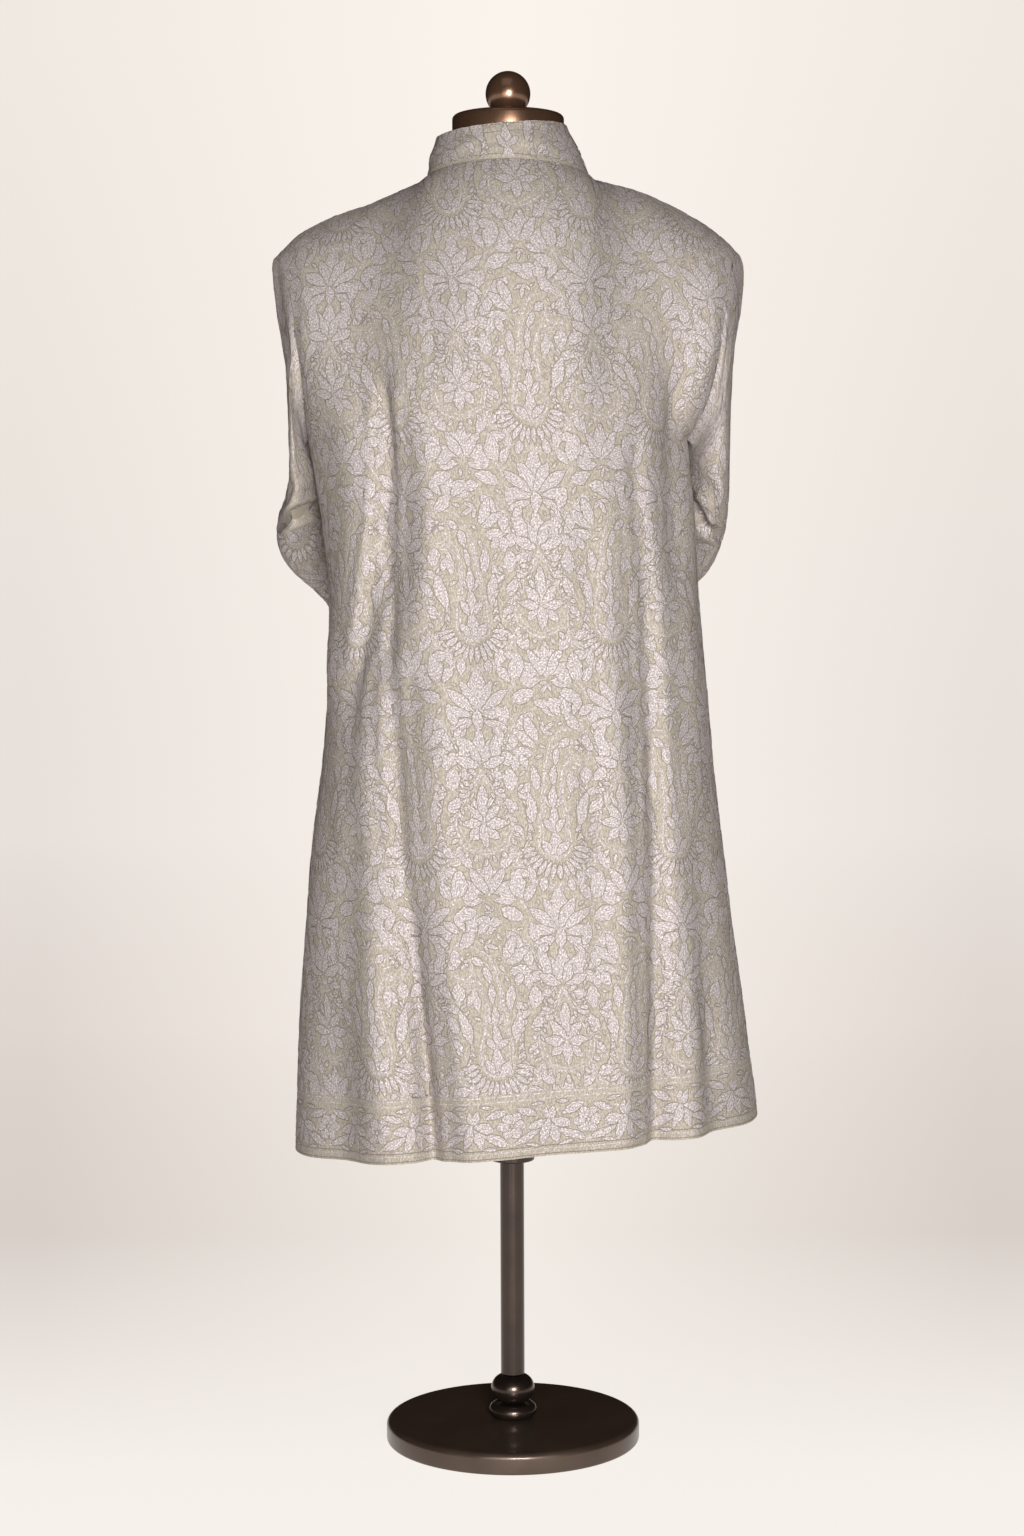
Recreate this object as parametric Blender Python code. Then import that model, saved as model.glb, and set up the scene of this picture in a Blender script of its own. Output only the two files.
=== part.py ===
"""Long stand-collar jacket on a limbless dress form with a disc base.

The wearer faces -Y, the wearer's left is +X, and the origin is the centre of
the base's underside. Sizes are in metres.
"""
import math
from collections import namedtuple

import bmesh
import bpy
import numpy as np

# Cloth and seams
CLOTH_WALL = 0.0020
COLLAR_WALL = 0.0024
SEAM_GAP = 0.0003
SURFACE_STEP = 0.0004
ACROSS_LENGTH = 0.25

# Body of the jacket, from the hem to the armpit
HEM_HEIGHT = 0.330
ARMPIT_HEIGHT = 1.045
HEM_TILT = -0.070
SECTION_POWER = 0.90
FRONT_GAP_HEM = 0.008
FRONT_GAP_NECK = 0.0012

Section = namedtuple("Section", "height left right back front")
BODY_SECTIONS = (
    Section(0.330, 0.2255, 0.2560, 0.170, 0.152),
    Section(0.450, 0.2200, 0.2400, 0.164, 0.148),
    Section(0.600, 0.2090, 0.2215, 0.156, 0.143),
    Section(0.780, 0.1895, 0.2030, 0.147, 0.136),
    Section(0.880, 0.1865, 0.1950, 0.143, 0.133),
    Section(0.970, 0.1940, 0.1890, 0.139, 0.130),
    Section(1.045, 0.2060, 0.1820, 0.135, 0.126),
)

# Neckline and shoulder line
NECK_COLUMNS = 5
HALF_COLUMNS = 14
NECK_SHARE = NECK_COLUMNS / HALF_COLUMNS
NECK_HALF = 0.084
NECK_BACK = 0.075
NECK_FRONT = 0.078
NECK_SIDE_HEIGHT = 1.3115
NECK_BACK_RISE = 0.009
NECK_FRONT_DROP = 0.050
TIP_LEFT = 0.2405
TIP_RIGHT = 0.2363

ShoulderRow = namedtuple("ShoulderRow", "along left_drop right_drop")
SHOULDER_LINE = (
    ShoulderRow(0.00, 0.0000, 0.0000),
    ShoulderRow(0.35, 0.0240, 0.0150),
    ShoulderRow(0.65, 0.0405, 0.0365),
    ShoulderRow(0.85, 0.0575, 0.0560),
    ShoulderRow(1.00, 0.0798, 0.0772),
)

# How the cloth comes over to the top edge: strength of the curve, how far it turns
# towards the neck at the neck's side, and how steeply it climbs
NECK_PULL = 0.14
SHOULDER_PULL = 0.20
NECK_TURN = 48.0
NECK_TURN_REACH = 0.28
MIDDLE_CLIMB = 1.35
NECK_SIDE_CLIMB = 0.25
TIP_PULL_OUT = 0.06
TIP_PULL_BACK = 0.14

Armhole = namedtuple("Armhole", "face side lean bulge")
ARMHOLES = (
    Armhole(1, 1, -0.02, 0.24),
    Armhole(1, -1, 0.15, 0.24),
    Armhole(-1, 1, -0.06, 0.22),
    Armhole(-1, -1, -0.06, 0.24),
)

# Largest folds: soft troughs with a ridge on each side; face 1 is the back, -1 the front
Fold = namedtuple("Fold", "face foot_height foot_x head_height head_x bow foot_depth head_depth width")
FOLDS = (
    Fold(1, 0.780, 0.1640, 1.150, 0.1600, -0.043, 0.007, 0.009, 0.022),
    Fold(1, 0.330, 0.0790, 0.920, 0.1230, 0.008, 0.014, 0.003, 0.022),
    Fold(1, 0.330, -0.1500, 0.980, -0.1280, -0.006, 0.013, 0.004, 0.021),
    Fold(1, 0.960, -0.1640, 1.140, -0.1740, 0.002, 0.006, 0.005, 0.015),
    Fold(1, 0.330, 0.1750, 0.620, 0.1620, 0.004, 0.009, 0.002, 0.020),
    Fold(1, 0.330, -0.2060, 0.700, -0.1780, -0.004, 0.008, 0.002, 0.018),
    Fold(1, 0.330, -0.0400, 0.560, -0.0460, 0.000, 0.005, 0.001, 0.026),
    Fold(-1, 0.330, 0.0900, 0.940, 0.1050, 0.006, 0.013, 0.003, 0.023),
    Fold(-1, 0.330, -0.1050, 0.960, -0.1020, -0.005, 0.013, 0.003, 0.023),
    Fold(-1, 0.330, 0.1700, 0.700, 0.1550, 0.003, 0.009, 0.002, 0.020),
    Fold(-1, 0.330, -0.1900, 0.740, -0.1620, -0.004, 0.009, 0.002, 0.020),
)
RIDGE_SHARE = 0.45
RIDGE_PLACE = 1.8
RIDGE_WIDTH = 0.8
FOLD_RUNOUT = 0.060
FOLD_SIDE_FADE = 0.045
FOLD_TOP = 1.19
FOLD_TOP_FADE = 0.07
FOLD_AWAY_SIDE = 0.200
FOLD_AWAY_DEPTH = 0.140

# Broad hollow that each upper arm presses into the front beside it
ArmHollow = namedtuple("ArmHollow", "side x y height depth spread reach")
ARM_HOLLOWS = (
    ArmHollow(1, 0.184, -0.050, 0.980, 0.025, 0.048, 0.085),
    ArmHollow(-1, 0.172, -0.050, 0.985, 0.016, 0.048, 0.090),
)

# Rows of the cloth panels
LOWER_ROWS = 16
UPPER_ROWS = 9

# Sleeves: ring centres down the arm, in from the side seam's own side
SleeveRing = namedtuple("SleeveRing", "place x y height out long yaw")
SLEEVE_LEFT = (
    SleeveRing(0, 0.2100, -0.022, 1.020, 0.014, 0.056, -12),
    SleeveRing(1, 0.2120, -0.038, 0.994, 0.019, 0.057, -18),
    SleeveRing(2, 0.2125, -0.068, 0.968, 0.028, 0.057, -26),
    SleeveRing(3, 0.190, -0.118, 0.938, 0.029, 0.054, -35),
    SleeveRing(4, 0.152, -0.182, 0.896, 0.029, 0.053, -46),
    SleeveRing(5, 0.108, -0.250, 0.858, 0.029, 0.050, -55),
)
SLEEVE_RIGHT = (
    SleeveRing(0, 0.204, -0.034, 1.034, 0.022, 0.054, -13),
    SleeveRing(1, 0.202, -0.050, 1.006, 0.024, 0.055, -15),
    SleeveRing(2, 0.199, -0.078, 0.978, 0.027, 0.054, -20),
    SleeveRing(3, 0.187, -0.118, 0.949, 0.028, 0.053, -30),
    SleeveRing(4, 0.147, -0.180, 0.922, 0.029, 0.052, -42),
    SleeveRing(5, 0.106, -0.252, 0.890, 0.029, 0.050, -52),
)
SLEEVE_TURN_LEFT = -10.0
SLEEVE_TURN_RIGHT = -12.0
SLEEVE_HEAD_ROWS = 7
SLEEVE_ARM_ROWS = 12
SLEEVE_BACK_PULL_LEFT = 0.018
SLEEVE_BACK_PULL_RIGHT = 0.030
SLEEVE_FRONT_PULL = 0.040
SLEEVE_FRONT_OUT = 0.030
SLEEVE_UNDER_OUT = 0.050
SLEEVE_UNDER_DOWN = 0.025
SLEEVE_END_SHARE = 0.80
SLEEVE_OVER_TOP = 1.2
SLEEVE_FOLD_PASSES = 2

# Stand collar
COLLAR_COLUMNS = 36
COLLAR_ROWS = 4
COLLAR_TOP_HALF = 0.0665
COLLAR_TOP_SHIFT = 0.0068
COLLAR_TOP_BACK = 0.0645
COLLAR_TOP_FRONT = 0.0685
COLLAR_TOP_HEIGHT = 1.3583
COLLAR_TOP_TILT = -0.090
COLLAR_TOP_FRONT_DROP = 0.050
COLLAR_END_GAP = 0.003

# Torso of the dress form, hidden inside the jacket
TorsoSection = namedtuple("TorsoSection", "height half back front")
TORSO_SECTIONS = (
    TorsoSection(0.660, 0.150, 0.112, 0.100),
    TorsoSection(0.690, 0.163, 0.126, 0.108),
    TorsoSection(0.790, 0.166, 0.128, 0.110),
    TorsoSection(0.930, 0.136, 0.098, 0.098),
    TorsoSection(1.045, 0.150, 0.110, 0.108),
    TorsoSection(1.160, 0.156, 0.112, 0.108),
)
TORSO_ROWS = 8
TORSO_EDGE_COLUMN = 11
TORSO_REST_GAP = 0.0006
TORSO_NECK_EASE = 0.005
TORSO_NECK_EASE_REACH = 0.15
TORSO_CHEST_EASE = 0.022
TORSO_CHEST_LENGTH = 0.80
TORSO_SIDE_BULGE = 0.12
TORSO_JOIN_LENGTH = 0.40
NeckRing = namedtuple("NeckRing", "share height radius")
NECK_RINGS = (
    NeckRing(0.35, 1.326, 0.056),
    NeckRing(0.75, 1.338, 0.055),
    NeckRing(1.00, 1.3520, 0.0545),
)

# Turned pieces of the stand: radius and height along each outline
BASE_RADIUS = 0.1328
BASE_THICKNESS = 0.022
FOOT_RING_RADIUS = 0.0253
FOOT_RING_TOP = 0.0374
FOOT_KNOB_RADIUS = 0.0229
FOOT_KNOB_TOP = 0.068
POLE_RADIUS = 0.0125
CLAMP_RADIUS = 0.0235
CLAMP_BOTTOM = 0.2955
CLAMP_TOP = 0.335
ROD_RADIUS = 0.0105
CAP_RADIUS = 0.0573
CAP_BOTTOM = 1.3523
CAP_TOP = 1.3758
BALL_RADIUS = 0.0230
BALL_CENTRE = 1.3976
BASE_SIDES = 56
ROUND_SIDES = 40
SMALL_SIDES = 28

BASE_EDGE = 0.003
CAP_LIP = 0.0045
BAR_EDGE = 0.0008
WELD_FINE = 0.00005
WELD_RIDGE = 0.0008

# Finishes
CLOTH_SHARP = 50
TURNED_SHARP = 35
CLOTH_COLOUR = (0.50, 0.47, 0.42, 1.0)
LINEN_COLOUR = (0.62, 0.56, 0.47, 1.0)
BRONZE_COLOUR = (0.060, 0.030, 0.020, 1.0)


def clear_scene():
    for item in list(bpy.data.objects):
        bpy.data.objects.remove(item, do_unlink=True)


def make_material(name, colour, roughness, metallic):
    material = bpy.data.materials.new(name)
    material.use_nodes = True
    shader = material.node_tree.nodes["Principled BSDF"]
    shader.inputs["Base Color"].default_value = colour
    shader.inputs["Roughness"].default_value = roughness
    shader.inputs["Metallic"].default_value = metallic
    return material


def finish(name, body, material, sharp_degrees):
    """Turn a closed body into a named object with its faces outward and shaded smooth."""
    bmesh.ops.recalc_face_normals(body, faces=body.faces)
    mesh = bpy.data.meshes.new(name)
    body.to_mesh(mesh)
    body.free()
    mesh.shade_smooth()
    mesh.set_sharp_from_angle(angle=math.radians(sharp_degrees))
    mesh.materials.append(material)
    item = bpy.data.objects.new(name, mesh)
    bpy.context.scene.collection.objects.link(item)


def ease(value):
    """Smooth step from 0 to 1."""
    value = np.clip(value, 0.0, 1.0)
    return value * value * (3.0 - 2.0 * value)


def hermite(start, start_pull, end, end_pull, along):
    """Cubic from start to end that leaves and arrives along the two pulls."""
    square = along * along
    cube = square * along
    return (
        (2 * cube - 3 * square + 1) * start
        + (cube - 2 * square + along) * start_pull
        + (3 * square - 2 * cube) * end
        + (cube - square) * end_pull
    )


def table_value(rows, key, column, at):
    """Read a column of a table at a place between its rows, on a smooth curve."""
    places = np.array([getattr(row, key) for row in rows])
    values = np.array([getattr(row, column) for row in rows])
    slopes = np.gradient(values, places)
    at = np.clip(at, places[0], places[-1])
    low = np.clip(np.searchsorted(places, at, side="right") - 1, 0, len(places) - 2)
    length = places[low + 1] - places[low]
    return hermite(
        values[low],
        slopes[low] * length,
        values[low + 1],
        slopes[low + 1] * length,
        (at - places[low]) / length,
    )


def unit(vectors):
    return vectors / np.linalg.norm(vectors, axis=-1, keepdims=True)


def fold_depth(points):
    """How far each point moves out of the plain surface because of the folds."""
    x, y, z = points[..., 0], points[..., 1], points[..., 2]
    moved = np.zeros_like(x)
    for fold in FOLDS:
        length = fold.head_height - fold.foot_height
        along = (z - fold.foot_height) / length
        inside = np.clip(along, 0.0, 1.0)
        centre = fold.foot_x + (fold.head_x - fold.foot_x) * inside
        centre = centre + fold.bow * 4.0 * inside * (1.0 - inside)
        depth = fold.foot_depth + (fold.head_depth - fold.foot_depth) * inside
        runout = np.exp(-(((along - inside) * length / FOLD_RUNOUT) ** 2))
        facing = ease(fold.face * y / FOLD_SIDE_FADE)
        across = (x - centre) / fold.width
        trough = np.exp(-(across ** 2))
        ridge = np.exp(-(((np.abs(across) - RIDGE_PLACE) / RIDGE_WIDTH) ** 2))
        moved = moved + depth * runout * facing * (RIDGE_SHARE * ridge - trough)
    for hollow in ARM_HOLLOWS:
        near = (x - hollow.side * hollow.x) ** 2 + (y - hollow.y) ** 2
        level = (z - hollow.height) / hollow.reach
        pressed = np.exp(-near / hollow.spread ** 2 - level ** 4)
        moved = moved - hollow.depth * pressed * ease(-y / FOLD_SIDE_FADE)
    return moved * ease((FOLD_TOP - z) / FOLD_TOP_FADE)


def lower_surface(face, across, up):
    """Body below the armpit: across is -1 to 1 between the side seams, up is 0 to 1."""
    turn = across if face > 0 else np.where(across < 0, -2.0 - across, 2.0 - across)
    angle = turn * math.pi / 2.0
    height = HEM_HEIGHT + up * (ARMPIT_HEIGHT - HEM_HEIGHT)
    sine, cosine = np.sin(angle), np.cos(angle)
    left = table_value(BODY_SECTIONS, "height", "left", height)
    right = table_value(BODY_SECTIONS, "height", "right", height)
    back = table_value(BODY_SECTIONS, "height", "back", height)
    front = table_value(BODY_SECTIONS, "height", "front", height)
    half = np.where(sine > 0, left, right)
    depth = np.where(cosine > 0, back, front)
    x = half * np.sign(sine) * np.abs(sine) ** SECTION_POWER
    y = depth * np.sign(cosine) * np.abs(cosine) ** SECTION_POWER
    z = height + HEM_TILT * x * (1.0 - up)
    return np.stack(np.broadcast_arrays(x, y, z), axis=-1)


def top_edge(face, across):
    """Neckline near the middle, then the shoulder line out to its tip."""
    side = np.where(across < 0, -1.0, 1.0)
    share = np.abs(across)
    neck_angle = np.clip(share / NECK_SHARE, 0.0, 1.0) * math.pi / 2.0
    neck_depth = NECK_BACK if face > 0 else -NECK_FRONT
    rise = NECK_BACK_RISE if face > 0 else -NECK_FRONT_DROP
    outward = np.clip((share - NECK_SHARE) / (1.0 - NECK_SHARE), 0.0, 1.0)
    tip = np.where(side > 0, TIP_LEFT, TIP_RIGHT)
    left_drop = table_value(SHOULDER_LINE, "along", "left_drop", outward)
    right_drop = table_value(SHOULDER_LINE, "along", "right_drop", outward)
    x = side * (NECK_HALF * np.sin(neck_angle) + outward * (tip - NECK_HALF))
    y = neck_depth * np.cos(neck_angle)
    z = NECK_SIDE_HEIGHT + rise * np.cos(neck_angle) ** 1.5 - np.where(side > 0, left_drop, right_drop)
    return np.stack(np.broadcast_arrays(x, y, z), axis=-1)


def upper_surface(face, across, up):
    """Body above the armpit, each column curving over to the neckline or shoulder."""
    level = np.ones_like(across)
    start = lower_surface(face, across, level)
    below = lower_surface(face, across, level - 0.01)
    end = top_edge(face, across)
    climb = end[..., 2:3] - start[..., 2:3]
    start_pull = (start - below) / (start[..., 2:3] - below[..., 2:3]) * climb
    side = np.where(across < 0, -1.0, 1.0)
    share = np.abs(across)
    to_arm = ease((share - 0.55) / 0.45)
    lean = sum(hole.lean * (side == hole.side) for hole in ARMHOLES if hole.face == face)
    bulge = sum(hole.bulge * (side == hole.side) for hole in ARMHOLES if hole.face == face)
    start_pull[..., 0] += side * lean * to_arm
    start_pull[..., 1] += face * bulge * to_arm
    to_neck_side = ease(share / NECK_SHARE)
    past_neck = ease((share - NECK_SHARE) / NECK_TURN_REACH)
    to_tip = ease((share - 0.70) / 0.30)
    turn = math.radians(NECK_TURN) * to_neck_side * (1.0 - past_neck)
    pull = NECK_PULL + (SHOULDER_PULL - NECK_PULL) * to_neck_side
    pull = pull + (TIP_PULL_BACK - SHOULDER_PULL) * to_tip
    climb_rate = MIDDLE_CLIMB * (1.0 - to_neck_side) + NECK_SIDE_CLIMB * to_neck_side * (1.0 - past_neck)
    end_pull = np.stack(
        [
            side * (TIP_PULL_OUT * to_tip - pull * np.sin(turn)),
            -face * pull * np.cos(turn),
            pull * climb_rate,
        ],
        axis=-1,
    )
    return hermite(start, start_pull, end, end_pull, up[..., None])


def plain_surface(face, across, level):
    """Whole panel without folds: level 0 is the hem, 1 the armpit, 2 the top edge."""
    across, level = np.broadcast_arrays(np.asarray(across, float), np.asarray(level, float))
    lower = lower_surface(face, across, np.clip(level, 0.0, 1.0))
    upper = upper_surface(face, across, np.clip(level - 1.0, 0.0, 1.0))
    return np.where((level <= 1.0)[..., None], lower, upper)


def surface_normals(surface, face, across, level):
    """Outward normals by small steps over the surface, one-sided past its edges."""
    low_across = np.where(level > 1.0, np.maximum(across - SURFACE_STEP, -1.0), across - SURFACE_STEP)
    high_across = np.where(level > 1.0, np.minimum(across + SURFACE_STEP, 1.0), across + SURFACE_STEP)
    low_level = np.clip(level - SURFACE_STEP, 0.0, 2.0)
    high_level = np.clip(level + SURFACE_STEP, 0.0, 2.0)
    sideways = surface(face, high_across, level) - surface(face, low_across, level)
    upwards = surface(face, across, high_level) - surface(face, across, low_level)
    normals = unit(np.cross(upwards, sideways)) * face
    seam = unit(sideways[-1])
    on_seam = np.abs(across[-1]) >= NECK_SHARE - 1e-6
    over = unit(np.cross(seam, np.array([0.0, 1.0, 0.0])))
    over = over * np.sign(over[..., 2:3])
    normals[-1] = np.where(on_seam[..., None], over, normals[-1])
    return normals


def folded_surface(face, across, level):
    """Panel with its folds, each point moved straight in or out of the body's oval."""
    across, level = np.broadcast_arrays(np.asarray(across, float), np.asarray(level, float))
    points = plain_surface(face, across, level)
    away = points * np.array([1.0 / FOLD_AWAY_SIDE ** 2, 1.0 / FOLD_AWAY_DEPTH ** 2, 0.0])
    return points + unit(away) * fold_depth(points)[..., None]


def grid_levels():
    lower = np.linspace(0.0, 1.0, LOWER_ROWS + 1)
    upper = 1.0 + np.linspace(0.0, 1.0, UPPER_ROWS + 1)[1:]
    return np.concatenate([lower, upper])


def panel_grid(face, low, high):
    """Outer and inner points of a panel between two columns, rows from hem to top edge."""
    levels = grid_levels()
    columns = np.arange(low, high + 1) / HALF_COLUMNS
    across, level = np.meshgrid(columns, levels)
    edge = 1.0 - 0.5 * SEAM_GAP / ACROSS_LENGTH
    across = np.clip(across, -edge, edge)
    if face < 0:
        across = open_front(across, level, 1 if high > 0 else -1)
    outer = folded_surface(face, across, level)
    normals = surface_normals(folded_surface, face, across, level)
    outer[-1, :, 1] += np.where(np.abs(across[-1]) >= NECK_SHARE - 1e-6, face * SEAM_GAP / 2, 0.0)
    return outer, outer - normals * CLOTH_WALL, normals


def open_front(across, level, side):
    """Move the centre-front edge off the middle by half the gap between the fronts."""
    gap = FRONT_GAP_HEM + (FRONT_GAP_NECK - FRONT_GAP_HEM) * np.clip(level, 0.0, 1.0)
    start = 2.0 / math.pi * (gap / 2.0 / ACROSS_LENGTH) ** (1.0 / SECTION_POWER)
    return side * (start + (1.0 - start) * np.abs(across))


def wall_faces(rows, columns, closed):
    """Triangles of a wall: outer sheet, inner sheet and the rims of its open edges."""
    count = rows * columns
    faces = []
    span = columns if closed else columns - 1

    def place(row, column, layer):
        return layer * count + row * columns + column % columns

    for row in range(rows - 1):
        for column in range(span):
            for layer in (0, 1):
                first = place(row, column, layer)
                second = place(row, column + 1, layer)
                third = place(row + 1, column + 1, layer)
                fourth = place(row + 1, column, layer)
                faces.append((first, second, third))
                faces.append((first, third, fourth))
    rims = [[(0, column) for column in range(span + 1)]]
    rims.append([(rows - 1, column) for column in range(span + 1)])
    if not closed:
        rims.append([(row, 0) for row in range(rows)])
        rims.append([(row, columns - 1) for row in range(rows)])
    for rim in rims:
        for start, end in zip(rim, rim[1:]):
            first = place(*start, 0)
            second = place(*end, 0)
            third = place(*end, 1)
            fourth = place(*start, 1)
            faces.append((first, second, third))
            faces.append((first, third, fourth))
    return faces


def make_wall(name, outer, inner, material, closed=False):
    rows, columns = outer.shape[:2]
    points = np.concatenate([outer.reshape(-1, 3), inner.reshape(-1, 3)])
    body = bmesh.new()
    verts = [body.verts.new(point) for point in points.tolist()]
    for face in wall_faces(rows, columns, closed):
        body.faces.new([verts[index] for index in face])
    finish(name, body, material, CLOTH_SHARP)


def armhole_loop(panels, side):
    """Points round an armhole, 0.3 mm off the panels' edges, and the way off each edge.

    The loop runs from the shoulder tip down the back to the armpit and up the front.
    """
    column = -1 if side > 0 else 0
    lines = {}
    ways = {}
    for face in (1, -1):
        outer, _, normals = panels[(face, side)]
        line = outer[LOWER_ROWS:, column]
        away = unit(np.cross(normals[LOWER_ROWS:, column], np.gradient(line, axis=0)))
        inwards = line - outer[LOWER_ROWS:, column - side]
        lines[face] = line
        ways[face] = away * np.sign(np.sum(away * inwards, axis=-1, keepdims=True))
    tip_way = unit(ways[1][-1] + ways[-1][-1])
    armpit_way = np.array([0.0, 0.0, 1.0])
    tip = (lines[1][-1] + lines[-1][-1]) / 2
    armpit = (lines[1][0] + lines[-1][0]) / 2
    loop = np.concatenate([[tip], lines[1][1:-1][::-1], [armpit], lines[-1][1:-1]])
    away = np.concatenate([[tip_way], ways[1][1:-1][::-1], [armpit_way], ways[-1][1:-1]])
    return loop + away * SEAM_GAP, away


def sleeve_path(rings, side):
    """Ring centres, directions and half sizes evenly spaced down the arm."""
    at = np.linspace(0.0, rings[-1].place, SLEEVE_ARM_ROWS)
    columns = ("x", "y", "height", "out", "long", "yaw")
    values = {column: table_value(rings, "place", column, at) for column in columns}
    centres = np.stack([side * values["x"], values["y"], values["height"]], axis=-1)
    along = unit(np.gradient(centres, axis=0))
    yaw = np.radians(values["yaw"])
    out = np.stack([side * np.cos(yaw), np.sin(yaw), np.zeros_like(yaw)], axis=-1)
    out = unit(out - along * np.sum(out * along, axis=-1, keepdims=True))
    back = np.cross(out, along) * side
    back = back * np.sign(back[0, 1])
    return centres, along, out, back, values["out"], values["long"]


def sleeve_grid(panels, side, rings):
    """Outer and inner points of a sleeve, rows from its armhole to its cuff."""
    loop, away = armhole_loop(panels, side)
    centres, along, out, back, half_out, half_long = sleeve_path(rings, side)
    place = np.arange(len(loop)) * 2.0 * math.pi / len(loop)
    angle = place + math.radians(SLEEVE_TURN_LEFT if side > 0 else SLEEVE_TURN_RIGHT)
    cosine, sine = np.cos(angle), np.sin(angle)
    arm = (
        centres[:, None]
        + out[:, None] * (half_out[:, None] * cosine)[..., None]
        + back[:, None] * (half_long[:, None] * sine)[..., None]
    )
    over_top = ease(0.5 + np.cos(place) / SLEEVE_OVER_TOP)[:, None]
    under = np.array([side * SLEEVE_UNDER_OUT, 0.0, -SLEEVE_UNDER_DOWN])
    at_front = ease(0.5 - np.sin(place))[:, None]
    back_pull = SLEEVE_BACK_PULL_LEFT if side > 0 else SLEEVE_BACK_PULL_RIGHT
    head_pull = away * (back_pull + (SLEEVE_FRONT_PULL - back_pull) * at_front)
    head_pull = head_pull + np.array([side * SLEEVE_FRONT_OUT, 0.0, 0.0]) * at_front
    start_pull = head_pull * over_top + under * (1.0 - over_top)
    end_pull = along[0] * np.linalg.norm(arm[0] - loop, axis=-1, keepdims=True) * SLEEVE_END_SHARE
    steps = np.linspace(0.0, 1.0, SLEEVE_HEAD_ROWS + 1)[:-1]
    head = np.stack([hermite(loop, start_pull, arm[0], end_pull, step) for step in steps])
    outer = np.concatenate([head, arm])
    across = np.roll(outer, -1, axis=1) - np.roll(outer, 1, axis=1)
    down = np.gradient(outer, axis=0)
    normals = unit(np.cross(across, down))
    middle = outer.mean(axis=1, keepdims=True)
    flip = np.sign(np.sum(normals[-1] * (outer[-1] - middle[-1])))
    depth = -normals * flip
    for _ in range(SLEEVE_FOLD_PASSES):
        depth = (depth * 2.0 + np.roll(depth, 1, axis=1) + np.roll(depth, -1, axis=1)) / 4.0
    backwards = np.sum(depth[0] * away, axis=-1, keepdims=True)
    depth[0] = unit(depth[0] - away * np.minimum(backwards, 0.0))
    return outer, outer + depth * CLOTH_WALL


def collar_grid(panels):
    """Collar from the wearer's left front round the back to the right front."""
    line = neckline(panels)
    place = np.linspace(0.0, 1.0, len(line))
    wanted = np.linspace(0.0, 1.0, COLLAR_COLUMNS + 1)
    foot = np.stack([np.interp(wanted, place, line[:, axis]) for axis in range(3)], axis=-1)
    inward = foot * np.array([-1.0, -1.0, 0.0])
    foot = foot + unit(inward) * SEAM_GAP + np.array([0.0, 0.0, SEAM_GAP])
    end = COLLAR_END_GAP / 2.0 / COLLAR_TOP_FRONT
    angle = np.linspace(math.pi - end, end - math.pi, COLLAR_COLUMNS + 1)
    depth = np.where(np.cos(angle) > 0, COLLAR_TOP_BACK, COLLAR_TOP_FRONT)
    x = COLLAR_TOP_HALF * np.sin(angle)
    y = depth * np.cos(angle)
    drop = COLLAR_TOP_FRONT_DROP * np.clip(-np.cos(angle), 0.0, 1.0) ** 1.5
    z = COLLAR_TOP_HEIGHT + COLLAR_TOP_TILT * x - drop
    shift = COLLAR_TOP_SHIFT * ease((np.cos(angle) + 1.0) * 1.5)
    top = np.stack([x + shift, y, z], axis=-1)
    rows = []
    linings = []
    for step in np.linspace(0.0, 1.0, COLLAR_ROWS):
        row = foot + (top - foot) * step
        around = np.gradient(row, axis=0)
        normal = unit(np.cross(around, top - foot))
        normal = normal * np.sign(np.sum(normal * row * np.array([1.0, 1.0, 0.0])))
        rows.append(row)
        linings.append(row - normal * COLLAR_WALL)
    return np.stack(rows), np.stack(linings)


def neckline(panels):
    """Neck edge of the three body panels in one line, left front to right front."""
    left_front = panels[(-1, 1)][0][-1, :NECK_COLUMNS + 1]
    back = panels[(1, 1)][0][-1, HALF_COLUMNS - NECK_COLUMNS:HALF_COLUMNS + NECK_COLUMNS + 1][::-1]
    right_front = panels[(-1, -1)][0][-1, -NECK_COLUMNS - 1:]
    return np.concatenate([left_front[:-1], back, right_front[1:]])


def torso_ring(across, height, face):
    """Plain section of the torso at a height."""
    turn = across if face > 0 else np.where(across < 0, -2.0 - across, 2.0 - across)
    angle = turn * math.pi / 2.0
    half = table_value(TORSO_SECTIONS, "height", "half", height)
    back = table_value(TORSO_SECTIONS, "height", "back", height)
    front = table_value(TORSO_SECTIONS, "height", "front", height)
    depth = np.where(np.cos(angle) > 0, back, front)
    return np.stack([half * np.sin(angle), depth * np.cos(angle)], axis=-1)


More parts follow.
